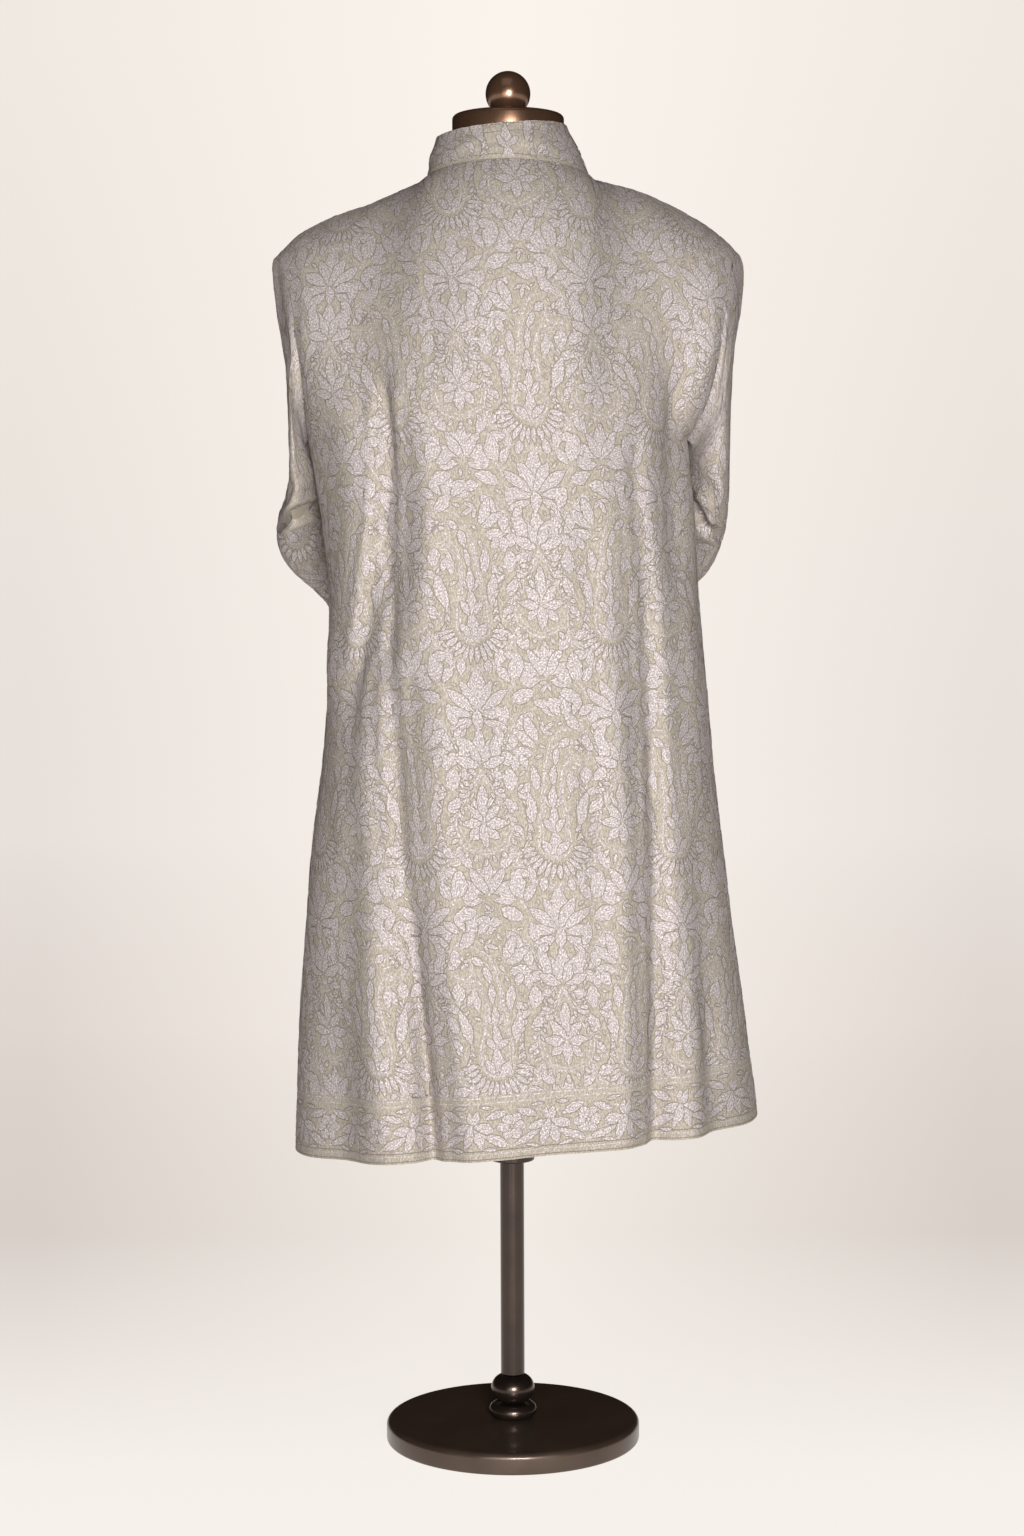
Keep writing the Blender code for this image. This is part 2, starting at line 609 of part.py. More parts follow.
def torso_half(face):
    """Points of the torso's back or front, rows from its foot to the shoulder ridge."""
    columns = np.arange(-TORSO_EDGE_COLUMN, TORSO_EDGE_COLUMN + 1) / HALF_COLUMNS
    rows = []
    for height in np.linspace(TORSO_SECTIONS[0].height, ARMPIT_HEIGHT, TORSO_ROWS + 1)[:-1]:
        flat = torso_ring(columns, np.full_like(columns, height), face)
        rows.append(np.concatenate([flat, np.full((len(columns), 1), height)], axis=1))
    levels = 1.0 + np.linspace(0.0, 1.0, UPPER_ROWS + 1)
    across, level = np.meshgrid(columns, levels)
    jacket = plain_surface(face, across, level)
    normals = surface_normals(plain_surface, face, across, level)
    past_neck = ease((np.abs(across) - NECK_SHARE) / TORSO_NECK_EASE_REACH)
    neck_ease = TORSO_NECK_EASE * (1.0 - past_neck)
    chest_ease = TORSO_CHEST_EASE * (1.0 - ease((level - 1.0) / TORSO_CHEST_LENGTH))
    seated = jacket - normals * (CLOTH_WALL + TORSO_REST_GAP + neck_ease + chest_ease)[..., None]
    ring = torso_ring(across, jacket[..., 2], face)
    joined = ease((level - 1.0) / TORSO_JOIN_LENGTH)[..., None]
    upper = seated.copy()
    upper[..., :2] = ring + (seated[..., :2] - ring) * joined
    upper[..., 2] = jacket[..., 2] + (seated[..., 2] - jacket[..., 2]) * joined[..., 0]
    return np.concatenate([np.stack(rows), upper])


def torso_solid(material):
    """Closed torso: back, front, rounded arm plates, neck and flat foot."""
    back = torso_half(1)
    front = torso_half(-1)
    left_plate = (back[:, -1] + front[:, -1]) / 2
    right_plate = (back[:, 0] + front[:, 0]) / 2
    width = np.linalg.norm(back[:, -1] - front[:, -1], axis=-1)
    left_plate[:, 0] += width * TORSO_SIDE_BULGE
    width = np.linalg.norm(back[:, 0] - front[:, 0], axis=-1)
    right_plate[:, 0] -= width * TORSO_SIDE_BULGE
    ring_rows = np.concatenate([back, left_plate[:, None], front[:, ::-1], right_plate[:, None]], axis=1)
    body = bmesh.new()
    layers = [[body.verts.new(point) for point in row] for row in ring_rows.tolist()]
    count = len(layers[0])
    for low, high in zip(layers, layers[1:]):
        for column in range(count):
            after = (column + 1) % count
            body.faces.new((low[column], low[after], high[after]))
            body.faces.new((low[column], high[after], high[column]))
    body.faces.new(layers[0])
    half = TORSO_EDGE_COLUMN
    width = 2 * half + 1
    back_neck = layers[-1][half - NECK_COLUMNS:half + NECK_COLUMNS + 1]
    front_start = width + 1 + half - NECK_COLUMNS
    front_neck = layers[-1][front_start:front_start + 2 * NECK_COLUMNS + 1]
    foot = back_neck + front_neck[1:-1]
    for ring in NECK_RINGS:
        foot = grow_neck(body, foot, ring)
    body.faces.new(foot)
    ridge = layers[-1][:half - NECK_COLUMNS + 1] + layers[-1][half + NECK_COLUMNS:front_start + 1]
    ridge += layers[-1][front_start + 2 * NECK_COLUMNS:]
    bmesh.ops.remove_doubles(body, verts=ridge, dist=WELD_RIDGE)
    finish("form_torso", body, material, CLOTH_SHARP)


def grow_neck(body, foot, ring):
    """Add one ring of the neck above the last one and join the two."""
    grown = []
    for vert in foot:
        angle = math.atan2(vert.co.x, vert.co.y)
        height = vert.co.z + (ring.height - vert.co.z) * ring.share if ring.share < 1.0 else ring.height
        grown.append(body.verts.new((ring.radius * math.sin(angle), ring.radius * math.cos(angle), height)))
    count = len(foot)
    for index in range(count):
        after = (index + 1) % count
        body.faces.new((foot[index], foot[after], grown[after], grown[index]))
    return grown


def turned(name, outline, material, sides=ROUND_SIDES):
    """Solid turned about the Z axis from an outline of (radius, height), bottom to top."""
    body = bmesh.new()
    verts = [body.verts.new((radius, 0.0, height)) for radius, height in outline]
    edges = [body.edges.new(pair) for pair in zip(verts, verts[1:])]
    bmesh.ops.spin(
        body,
        geom=verts + edges,
        cent=(0.0, 0.0, 0.0),
        axis=(0.0, 0.0, 1.0),
        angle=2.0 * math.pi,
        steps=sides,
        use_merge=True,
    )
    bmesh.ops.remove_doubles(body, verts=body.verts, dist=WELD_FINE)
    finish(name, body, material, TURNED_SHARP)


def arc(centre_radius, centre_height, radius, start, end, steps):
    """Points on a circular arc of an outline, angles in degrees from outward."""
    angles = np.radians(np.linspace(start, end, steps + 1))
    return [(centre_radius + radius * math.cos(a), centre_height + radius * math.sin(a)) for a in angles]


def make_stand(bronze):
    bevel = 2 * BASE_EDGE
    base = [(0.0, 0.0), (BASE_RADIUS - BASE_EDGE, 0.0)]
    base += arc(BASE_RADIUS - BASE_EDGE, BASE_EDGE, BASE_EDGE, -60, 0, 2)
    base += arc(BASE_RADIUS - bevel, BASE_THICKNESS - bevel, bevel, 0, 90, 3)
    base += [(0.0, BASE_THICKNESS)]
    turned("base_disc", base, bronze, sides=BASE_SIDES)

    ring_bottom = BASE_THICKNESS + SEAM_GAP
    ring_half = (FOOT_RING_TOP - ring_bottom) / 2
    ring = [(0.0, ring_bottom)]
    ring += arc(FOOT_RING_RADIUS - ring_half, ring_bottom + ring_half, ring_half, -90, 90, 6)
    ring += [(0.0, FOOT_RING_TOP)]
    turned("foot_ring", ring, bronze, sides=SMALL_SIDES)

    knob_bottom = FOOT_RING_TOP + SEAM_GAP
    knob_half = (FOOT_KNOB_TOP - knob_bottom) / 2
    knob = [(0.0, knob_bottom)]
    knob += arc(FOOT_KNOB_RADIUS - knob_half, knob_bottom + knob_half, knob_half, -80, 80, 8)
    knob += [(0.0, FOOT_KNOB_TOP)]
    turned("foot_knob", knob, bronze, sides=SMALL_SIDES)

    straight("pole", POLE_RADIUS, FOOT_KNOB_TOP + SEAM_GAP, CLAMP_BOTTOM - SEAM_GAP, bronze)
    straight("pole_clamp", CLAMP_RADIUS, CLAMP_BOTTOM, CLAMP_TOP, bronze)
    torso_foot = TORSO_SECTIONS[0].height
    straight("pole_rod", ROD_RADIUS, CLAMP_TOP + SEAM_GAP, torso_foot - SEAM_GAP, bronze)

    cap = [(0.0, CAP_BOTTOM), (CAP_RADIUS - CAP_LIP, CAP_BOTTOM)]
    cap += arc(CAP_RADIUS - CAP_LIP / 2, CAP_BOTTOM + CAP_LIP, CAP_LIP / 2, -45, 0, 2)
    cap += arc(CAP_RADIUS - CAP_LIP, CAP_TOP - CAP_LIP, CAP_LIP, 0, 90, 4)
    cap += [(0.0, CAP_TOP)]
    turned("neck_cap", cap, bronze)

    flat = CAP_TOP + SEAM_GAP
    start = math.degrees(math.asin((flat - BALL_CENTRE) / BALL_RADIUS))
    ball = [(0.0, flat)]
    ball += arc(0.0, BALL_CENTRE, BALL_RADIUS, start, 90, 10)
    turned("ball_finial", ball, bronze, sides=SMALL_SIDES)


def straight(name, radius, bottom, top, material):
    """Plain round bar with a small chamfer at each end."""
    outline = [
        (0.0, bottom),
        (radius - BAR_EDGE, bottom),
        (radius, bottom + BAR_EDGE),
        (radius, top - BAR_EDGE),
        (radius - BAR_EDGE, top),
        (0.0, top),
    ]
    turned(name, outline, material, sides=SMALL_SIDES)


def make_jacket(cloth):
    back = panel_grid(1, -HALF_COLUMNS, HALF_COLUMNS)
    left = panel_grid(-1, 0, HALF_COLUMNS)
    right = panel_grid(-1, -HALF_COLUMNS, 0)
    panels = {(1, 1): back, (1, -1): back, (-1, 1): left, (-1, -1): right}
    make_wall("jacket_back", back[0], back[1], cloth)
    make_wall("jacket_front_left", left[0], left[1], cloth)
    make_wall("jacket_front_right", right[0], right[1], cloth)
    for name, side, rings in (("sleeve_left", 1, SLEEVE_LEFT), ("sleeve_right", -1, SLEEVE_RIGHT)):
        outer, inner = sleeve_grid(panels, side, rings)
        make_wall(name, outer, inner, cloth, closed=True)
    outer, inner = collar_grid(panels)
    make_wall("stand_collar", outer, inner, cloth)


def main():
    clear_scene()
    cloth = make_material("jacquard_cloth", CLOTH_COLOUR, 0.75, 0.0)
    linen = make_material("form_linen", LINEN_COLOUR, 0.85, 0.0)
    bronze = make_material("dark_bronze", BRONZE_COLOUR, 0.28, 0.9)
    make_jacket(cloth)
    torso_solid(linen)
    make_stand(bronze)


main()
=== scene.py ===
import math

import bpy
import numpy as np
from mathutils import Matrix, Vector
from mathutils.kdtree import KDTree


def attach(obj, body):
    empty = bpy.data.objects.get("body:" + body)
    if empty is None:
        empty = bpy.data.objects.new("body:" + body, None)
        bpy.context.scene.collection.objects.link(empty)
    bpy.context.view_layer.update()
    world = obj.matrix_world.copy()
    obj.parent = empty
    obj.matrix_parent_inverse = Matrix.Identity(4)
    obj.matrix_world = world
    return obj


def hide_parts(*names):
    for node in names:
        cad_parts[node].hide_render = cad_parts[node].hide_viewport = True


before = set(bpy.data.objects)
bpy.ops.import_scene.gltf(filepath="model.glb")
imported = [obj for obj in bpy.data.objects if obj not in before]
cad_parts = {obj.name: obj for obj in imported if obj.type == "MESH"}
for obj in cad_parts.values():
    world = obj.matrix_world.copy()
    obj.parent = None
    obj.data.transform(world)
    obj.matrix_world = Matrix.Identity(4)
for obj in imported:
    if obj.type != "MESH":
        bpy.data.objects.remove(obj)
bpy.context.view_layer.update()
bpy.ops.object.select_all(action="DESELECT")
print("frame loaded")


# One wrapped socket, with the sums and products written as Python
class Wire:
    def __init__(self, tree, socket):
        self.tree = tree
        self.socket = socket

    def math(self, operation, *others, clamp=False):
        node = self.tree.nodes.new("ShaderNodeMath")
        node.operation = operation
        node.use_clamp = clamp
        for slot, value in zip(node.inputs, (self, *others)):
            put(self.tree, slot, value)
        return Wire(self.tree, node.outputs[0])

    def __add__(self, other):
        return self.math("ADD", other)

    def __radd__(self, other):
        return self.math("ADD", other)

    def __sub__(self, other):
        return self.math("SUBTRACT", other)

    def __rsub__(self, other):
        node = self.tree.nodes.new("ShaderNodeMath")
        node.operation = "SUBTRACT"
        put(self.tree, node.inputs[0], other)
        put(self.tree, node.inputs[1], self)
        return Wire(self.tree, node.outputs[0])

    def __mul__(self, other):
        return self.math("MULTIPLY", other)

    def __rmul__(self, other):
        return self.math("MULTIPLY", other)

    def __truediv__(self, other):
        return self.math("DIVIDE", other)

    def top(self, other):
        return self.math("MAXIMUM", other)

    def size(self):
        return self.math("ABSOLUTE")

    def past(self, edge, soft):
        # 0 before the edge, 1 past it, with a soft step between
        return self.math("MULTIPLY_ADD", 1.0 / soft, 0.5 - edge / soft, clamp=True)

    def near(self, place, half, soft):
        # 1 on a line at the place, 0 away from it
        return (half - (self - place).size()).past(0.0, soft)


def put(tree, slot, value):
    if isinstance(value, Wire):
        tree.links.new(value.socket, slot)
    elif isinstance(value, bpy.types.NodeSocket):
        tree.links.new(value, slot)
    else:
        slot.default_value = value


def mixed(tree, factor, first, second):
    # a blend of two colours
    node = tree.nodes.new("ShaderNodeMix")
    node.data_type = "RGBA"
    for slot, value in zip((0, 6, 7), (factor, first, second)):
        put(tree, node.inputs[slot], value)
    return Wire(tree, node.outputs[2])


class Finish:
    # a material that is built from nodes; part() adds one node of any kind
    def __init__(self, name, **constants):
        self.material = bpy.data.materials.new(name)
        self.material.use_nodes = True
        self.tree = self.material.node_tree
        self.shader = self.tree.nodes["Principled BSDF"]
        for socket, value in constants.items():
            self.shader.inputs[socket.replace("_", " ")].default_value = value

    def part(self, kind, settings=None, output=0, **values):
        node = self.tree.nodes.new(kind)
        for name, value in (settings or {}).items():
            setattr(node, name, value)
        for name, value in values.items():
            put(self.tree, node.inputs[name.replace("_", " ")], value)
        return Wire(self.tree, node.outputs[output])

    def field(self, name):
        return self.part("ShaderNodeAttribute", {"attribute_name": name}, output="Fac")

    def place(self):
        return self.part("ShaderNodeTexCoord", output="Object")

    def noise(self, scale, detail=2.0, stretch=None, rough=0.5):
        where = self.place()
        if stretch:
            where = self.part("ShaderNodeMapping", Vector=where, Scale=stretch)
        return self.part(
            "ShaderNodeTexNoise", output="Fac", Vector=where, Scale=scale, Detail=detail, Roughness=rough
        )

    def mix(self, factor, first, second):
        return mixed(self.tree, factor, first, second)

    def bump(self, height, distance, strength=1.0):
        self.to("Normal", self.part("ShaderNodeBump", Strength=strength, Distance=distance, Height=height))

    def to(self, socket, wire):
        self.tree.links.new(wire.socket, self.shader.inputs[socket])


def paint(red, green, blue):
    # screen colour, 0 to 255, as the linear colour that the shader takes
    def line(value):
        value = value / 255.0
        return value / 12.92 if value <= 0.04045 else ((value + 0.055) / 1.055) ** 2.4
    return (line(red), line(green), line(blue), 1.0)


# Camera, floor and light
shot = {
    "place": (-0.00155, 2.9, 0.8835),
    "tilt": 3.497,
    "roll": 0.216,
    "lens": 65.55,
    # wall and floor tones: a painted glow, brightest behind the jacket and on the floor near the stand
    "wallLow": paint(232, 225, 219),
    "wallHigh": paint(240, 233, 225),
    "wallNear": paint(251, 244, 237),
    "floorFar": paint(222, 214, 207),
    "floorNear": paint(255, 249, 243),
    "wallRise": (0.075, 0.23),
    "nearSpread": (0.085, 0.17),
    "ambient": 0.05,
    "shade": paint(186, 146, 120),
    "key": {"place": (-0.35, 3.5, 1.10), "size": 1.0, "watts": 142},
    "fill": {"place": (0.9, 3.3, 0.8), "size": 1.2, "watts": 12},
    "crown": {"place": (0.2, 1.2, 3.2), "size": 1.6, "watts": 3},
}


def makeCamera():
    data = bpy.data.cameras.new("photoCamera")
    data.lens = shot["lens"]
    data.sensor_width = 36.0
    camera = bpy.data.objects.new("photoCamera", data)
    tilt = math.radians(shot["tilt"])
    look = Vector((0.0, -math.cos(tilt), -math.sin(tilt))).to_track_quat("-Z", "Y").to_matrix().to_4x4()
    roll = Matrix.Rotation(math.radians(-shot["roll"]), 4, "Z")
    camera.matrix_world = Matrix.Translation(shot["place"]) @ look @ roll
    bpy.context.scene.collection.objects.link(camera)
    bpy.context.scene.camera = camera


def makeLight(name):
    facts = shot[name]
    data = bpy.data.lights.new(name, "AREA")
    data.shape = "SQUARE"
    data.size = facts["size"]
    data.energy = facts["watts"]
    data.color = (1.0, 0.985, 0.965)
    lamp = bpy.data.objects.new(name, data)
    lamp.location = facts["place"]
    lamp.rotation_euler = (Vector((0.0, 0.0, 0.85)) - lamp.location).to_track_quat("-Z", "Y").to_euler()
    bpy.context.scene.collection.objects.link(lamp)


def makeWorld():
    # the camera sees a pale wall with a painted glow, brightest behind the jacket, and all else a low brown
    # light
    world = bpy.data.worlds.new("paleRoom")
    world.use_nodes = True
    bpy.context.scene.world = world
    tree = world.node_tree
    nodes, links = tree.nodes, tree.links
    background = nodes["Background"]
    seen = nodes.new("ShaderNodeLightPath").outputs["Is Camera Ray"]
    strength = nodes.new("ShaderNodeMix")
    strength.inputs[2].default_value = shot["ambient"]
    strength.inputs[3].default_value = 1.0
    links.new(seen, strength.inputs[0])
    links.new(strength.outputs[0], background.inputs["Strength"])
    split = nodes.new("ShaderNodeSeparateXYZ")
    links.new(nodes.new("ShaderNodeTexCoord").outputs["Generated"], split.inputs[0])
    aside, up = Wire(tree, split.outputs[0]).size(), Wire(tree, split.outputs[2])
    wall = mixed(tree, up.past(*shot["wallRise"]), shot["wallLow"], shot["wallHigh"])
    wall = mixed(tree, 1.0 - aside.past(*shot["nearSpread"]), wall, shot["wallNear"])
    links.new(mixed(tree, seen, shot["shade"], wall).socket, background.inputs["Color"])


def makeFloor():
    # glows as painted light in the wall's tones far off and in its own brighter painted pool of light near
    # the stand, and still takes a faint shadow
    bpy.ops.mesh.primitive_circle_add(vertices=96, radius=14.0, fill_type="NGON", location=(0.0, 0.0, 0.0))
    floor = bpy.context.object
    floor.name = "paleFloor"
    floor.visible_diffuse = False
    finish = Finish("paleFloorGlow", Roughness=0.6, Base_Color=shot["floorNear"])
    along = finish.part("ShaderNodeSeparateXYZ", output="Y", Vector=finish.place())
    aside = finish.part("ShaderNodeSeparateXYZ", output="X", Vector=finish.place()).size()
    fromCamera = shot["place"][1] - along
    tone = finish.mix(along.past(-5.0, 5.0), shot["wallLow"], shot["floorFar"])
    tone = finish.mix(1.0 - (aside / fromCamera).past(*shot["nearSpread"]), tone, shot["wallNear"])
    tone = finish.mix(along.past(-0.42, 1.05), tone, shot["floorNear"])
    # the floor's painted light: it glows in these tones though it is no lamp
    glow = finish.part("ShaderNodeEmission", Color=tone, Strength=1.0)
    join = finish.part("ShaderNodeMixShader", Fac=1.0 - along.past(-1.6, 2.4) * 0.12).socket.node
    finish.tree.links.new(finish.shader.outputs[0], join.inputs[1])
    finish.tree.links.new(glow.socket, join.inputs[2])
    finish.tree.links.new(join.outputs[0], finish.tree.nodes["Material Output"].inputs["Surface"])
    floor.data.materials.append(finish.material)
    floor.location = (0.0, 0.0, -0.0002)


bpy.context.scene.view_settings.view_transform = "Standard"
makeCamera()
makeWorld()
makeFloor()
for lampName in ("key", "fill", "crown"):
    makeLight(lampName)
print("camera, floor and lights set")


# The jacket's surface, on the same sizes as its solids
jacket = {
    "hem": 0.330,
    "armpit": 1.045,
    "hemTilt": -0.070,
    "power": 0.90,
    "seamGap": 0.0003,
    "frontGap": (0.008, 0.0012),
    "acrossLength": 0.25,
    # height, left, right, back, front
    "sections": (
        (0.330, 0.2255, 0.2560, 0.170, 0.152),
        (0.450, 0.2200, 0.2400, 0.164, 0.148),
        (0.600, 0.2090, 0.2215, 0.156, 0.143),
        (0.780, 0.1895, 0.2030, 0.147, 0.136),
        (0.880, 0.1865, 0.1950, 0.143, 0.133),
        (0.970, 0.1940, 0.1890, 0.139, 0.130),
        (1.045, 0.2060, 0.1820, 0.135, 0.126),
    ),
    "neckShare": 5.0 / 14.0,
    "neckHalf": 0.084,
    "neckBack": 0.075,
    "neckFront": 0.078,
    "neckHeight": 1.3115,
    "neckRise": 0.009,
    "neckDrop": 0.050,
    "tips": (0.2405, 0.2363),
    # share of the shoulder, drop on the left, drop on the right
    "shoulder": (
        (0.00, 0.0000, 0.0000),
        (0.35, 0.0240, 0.0150),
        (0.65, 0.0405, 0.0365),
        (0.85, 0.0575, 0.0560),
        (1.00, 0.0798, 0.0772),
    ),
    "pulls": {
        "neck": 0.14, "shoulder": 0.20, "turn": 48.0, "reach": 0.28,
        "climb": (1.35, 0.25), "tip": (0.06, 0.14),
    },
    # face, side, lean, bulge
    "armholes": ((1, 1, -0.02, 0.24), (1, -1, 0.15, 0.24), (-1, 1, -0.06, 0.22), (-1, -1, -0.06, 0.24)),
}

# face, foot height, foot x, head height, head x, bow, foot depth, head depth, width
mainFolds = (
    (1, 0.780, 0.1640, 1.150, 0.1600, -0.043, 0.007, 0.009, 0.022),
    (1, 0.330, 0.0790, 0.920, 0.1230, 0.008, 0.014, 0.003, 0.022),
    (1, 0.330, -0.1500, 0.980, -0.1280, -0.006, 0.013, 0.004, 0.021),
    (1, 0.960, -0.1640, 1.140, -0.1740, 0.002, 0.006, 0.005, 0.015),
    (1, 0.330, 0.1750, 0.620, 0.1620, 0.004, 0.009, 0.002, 0.020),
    (1, 0.330, -0.2060, 0.700, -0.1780, -0.004, 0.008, 0.002, 0.018),
    (1, 0.330, -0.0400, 0.560, -0.0460, 0.000, 0.005, 0.001, 0.026),
    (-1, 0.330, 0.0900, 0.940, 0.1050, 0.006, 0.013, 0.003, 0.023),
    (-1, 0.330, -0.1050, 0.960, -0.1020, -0.005, 0.013, 0.003, 0.023),
    (-1, 0.330, 0.1700, 0.700, 0.1550, 0.003, 0.009, 0.002, 0.020),
    (-1, 0.330, -0.1900, 0.740, -0.1620, -0.004, 0.009, 0.002, 0.020),
)

# narrower creases that only the cloth has; the same columns
smallCreases = (
    (1, 0.800, 0.1590, 1.070, 0.1270, -0.014, 0.0030, 0.0065, 0.0075),
    (1, 0.830, 0.1540, 0.960, 0.1330, 0.000, 0.0020, 0.0035, 0.0050),
    (1, 0.335, 0.0830, 0.560, 0.0975, 0.000, 0.0075, 0.0025, 0.0080),
    (1, 0.400, 0.0880, 0.910, 0.1225, 0.007, 0.0020, 0.0030, 0.0070),
    (1, 0.335, -0.1490, 0.700, -0.1470, -0.002, 0.0050, 0.0035, 0.0080),
    (1, 0.700, -0.1470, 1.000, -0.1270, -0.003, 0.0030, 0.0020, 0.0070),
    (1, 0.985, -0.1690, 1.130, -0.1740, 0.003, 0.0025, 0.0030, 0.0080),
    (1, 1.060, 0.0880, 1.190, 0.1120, 0.004, 0.0012, 0.0022, 0.0120),
    (1, 0.620, 0.0300, 0.880, 0.0360, 0.004, 0.0010, 0.0014, 0.0160),
    (1, 0.480, -0.0880, 0.760, -0.0830, -0.003, 0.0018, 0.0012, 0.0150),
    (1, 0.900, -0.0800, 1.120, -0.1000, 0.004, 0.0010, 0.0018, 0.0140),
    (1, 0.640, 0.1560, 0.800, 0.1640, 0.002, 0.0022, 0.0030, 0.0090),
    (1, 0.420, -0.2020, 0.640, -0.1860, 0.000, 0.0035, 0.0015, 0.0100),
    (1, 0.760, -0.1750, 0.940, -0.1690, 0.003, 0.0020, 0.0028, 0.0090),
    (-1, 0.340, 0.0930, 0.640, 0.1010, 0.003, 0.0060, 0.0020, 0.0085),
    (-1, 0.340, -0.1080, 0.620, -0.1060, -0.003, 0.0060, 0.0020, 0.0085),
    (-1, 0.620, 0.1200, 0.980, 0.1330, -0.006, 0.0015, 0.0045, 0.0100),
    (-1, 0.640, -0.1230, 1.000, -0.1330, 0.006, 0.0015, 0.0045, 0.0100),
    (-1, 0.900, 0.0520, 1.120, 0.0900, 0.004, 0.0012, 0.0026, 0.0120),
    (-1, 0.880, -0.0480, 1.130, -0.0880, -0.004, 0.0012, 0.0026, 0.0120),
    (-1, 0.420, 0.0420, 0.760, 0.0380, 0.002, 0.0020, 0.0012, 0.0150),
    (-1, 0.400, -0.0500, 0.740, -0.0420, 0.000, 0.0022, 0.0012, 0.0150),
)

# side, x, y, height, depth, spread, reach
armHollows = (
    (1, 0.184, -0.050, 0.980, 0.025, 0.048, 0.085),
    (-1, 0.172, -0.050, 0.985, 0.016, 0.048, 0.090),
)
foldShape = {
    "ridgeShare": 0.45, "ridgePlace": 1.8, "ridgeWidth": 0.8, "runout": 0.060,
    "sideFade": 0.045, "top": 1.19, "topFade": 0.07, "away": (0.200, 0.140), "smallRunout": 0.035,
}


def ease(value):
    value = np.clip(value, 0.0, 1.0)
    return value * value * (3.0 - 2.0 * value)


def curve(start, startPull, end, endPull, along):
    square = along * along
    cube = square * along
    return (
        (2 * cube - 3 * square + 1) * start + (cube - 2 * square + along) * startPull
        + (3 * square - 2 * cube) * end + (cube - square) * endPull
    )


def tableValue(rows, column, at):
    rows = np.array(rows, float)
    places, values = rows[:, 0], rows[:, column]
    slopes = np.gradient(values, places)
    at = np.clip(at, places[0], places[-1])
    low = np.clip(np.searchsorted(places, at, side="right") - 1, 0, len(places) - 2)
    length = places[low + 1] - places[low]
    along = (at - places[low]) / length
    return curve(values[low], slopes[low] * length, values[low + 1], slopes[low + 1] * length, along)


def unit(vectors):
    return vectors / np.maximum(np.linalg.norm(vectors, axis=-1, keepdims=True), 1e-12)


def creaseMove(points, rows, runout):
    x, y, z = points[..., 0], points[..., 1], points[..., 2]
    moved = np.zeros_like(x)
    for face, footHeight, footX, headHeight, headX, bow, footDepth, headDepth, width in rows:
        length = headHeight - footHeight
        along = (z - footHeight) / length
        inside = np.clip(along, 0.0, 1.0)
        centre = footX + (headX - footX) * inside + bow * 4.0 * inside * (1.0 - inside)
        depth = footDepth + (headDepth - footDepth) * inside
        fade = np.exp(-(((along - inside) * length / runout) ** 2)) * ease(face * y / foldShape["sideFade"])
        across = (x - centre) / width
        ridge = np.exp(-(((np.abs(across) - foldShape["ridgePlace"]) / foldShape["ridgeWidth"]) ** 2))
        moved += depth * fade * (foldShape["ridgeShare"] * ridge - np.exp(-(across ** 2)))
    return moved


def foldMove(points):
    x, y, z = points[..., 0], points[..., 1], points[..., 2]
    moved = creaseMove(points, mainFolds, foldShape["runout"])
    for side, placeX, placeY, height, depth, spread, reach in armHollows:
        near = (x - side * placeX) ** 2 + (y - placeY) ** 2
        level = (z - height) / reach
        moved -= depth * np.exp(-near / spread ** 2 - level ** 4) * ease(-y / foldShape["sideFade"])
    return moved * ease((foldShape["top"] - z) / foldShape["topFade"])


def softWaves(points):
    # slow uneven swells of a hanging cloth, a millimetre or so high
    x, y, z = points[..., 0], points[..., 1], points[..., 2]
    moved = np.zeros_like(x)
    draw = np.random.default_rng(11)
    for step in range(9):
        wide, tall = draw.uniform(0.055, 0.13), draw.uniform(0.18, 0.55)
        start = draw.uniform(0.0, 6.28, 2)
        lean = draw.uniform(-0.12, 0.12)
        swell = np.sin((x + lean * z) * 6.28 / wide + start[0])
        moved += swell * np.sin(z * 6.28 / tall + y * 14.0 + start[1])
    return moved * 0.00035


def lowerSurface(face, across, up):
    turn = across if face > 0 else np.where(across < 0, -2.0 - across, 2.0 - across)
    angle = turn * math.pi / 2.0
    height = jacket["hem"] + up * (jacket["armpit"] - jacket["hem"])
    sine, cosine = np.sin(angle), np.cos(angle)
    left, right, back, front = (tableValue(jacket["sections"], column, height) for column in range(1, 5))
    half = np.where(sine > 0, left, right)
    depth = np.where(cosine > 0, back, front)
    x = half * np.sign(sine) * np.abs(sine) ** jacket["power"]
    y = depth * np.sign(cosine) * np.abs(cosine) ** jacket["power"]
    z = height + jacket["hemTilt"] * x * (1.0 - up)
    return np.stack(np.broadcast_arrays(x, y, z), axis=-1)


def topEdge(face, across):
    side = np.where(across < 0, -1.0, 1.0)
    share = np.abs(across)
    angle = np.clip(share / jacket["neckShare"], 0.0, 1.0) * math.pi / 2.0
    depth = jacket["neckBack"] if face > 0 else -jacket["neckFront"]
    rise = jacket["neckRise"] if face > 0 else -jacket["neckDrop"]
    outward = np.clip((share - jacket["neckShare"]) / (1.0 - jacket["neckShare"]), 0.0, 1.0)
    tip = np.where(side > 0, *jacket["tips"])
    leftDrop, rightDrop = (tableValue(jacket["shoulder"], column, outward) for column in (1, 2))
    drop = np.where(side > 0, leftDrop, rightDrop)
    x = side * (jacket["neckHalf"] * np.sin(angle) + outward * (tip - jacket["neckHalf"]))
    y = depth * np.cos(angle)
    z = jacket["neckHeight"] + rise * np.abs(np.cos(angle)) ** 1.5 - drop
    return np.stack(np.broadcast_arrays(x, y, z), axis=-1)


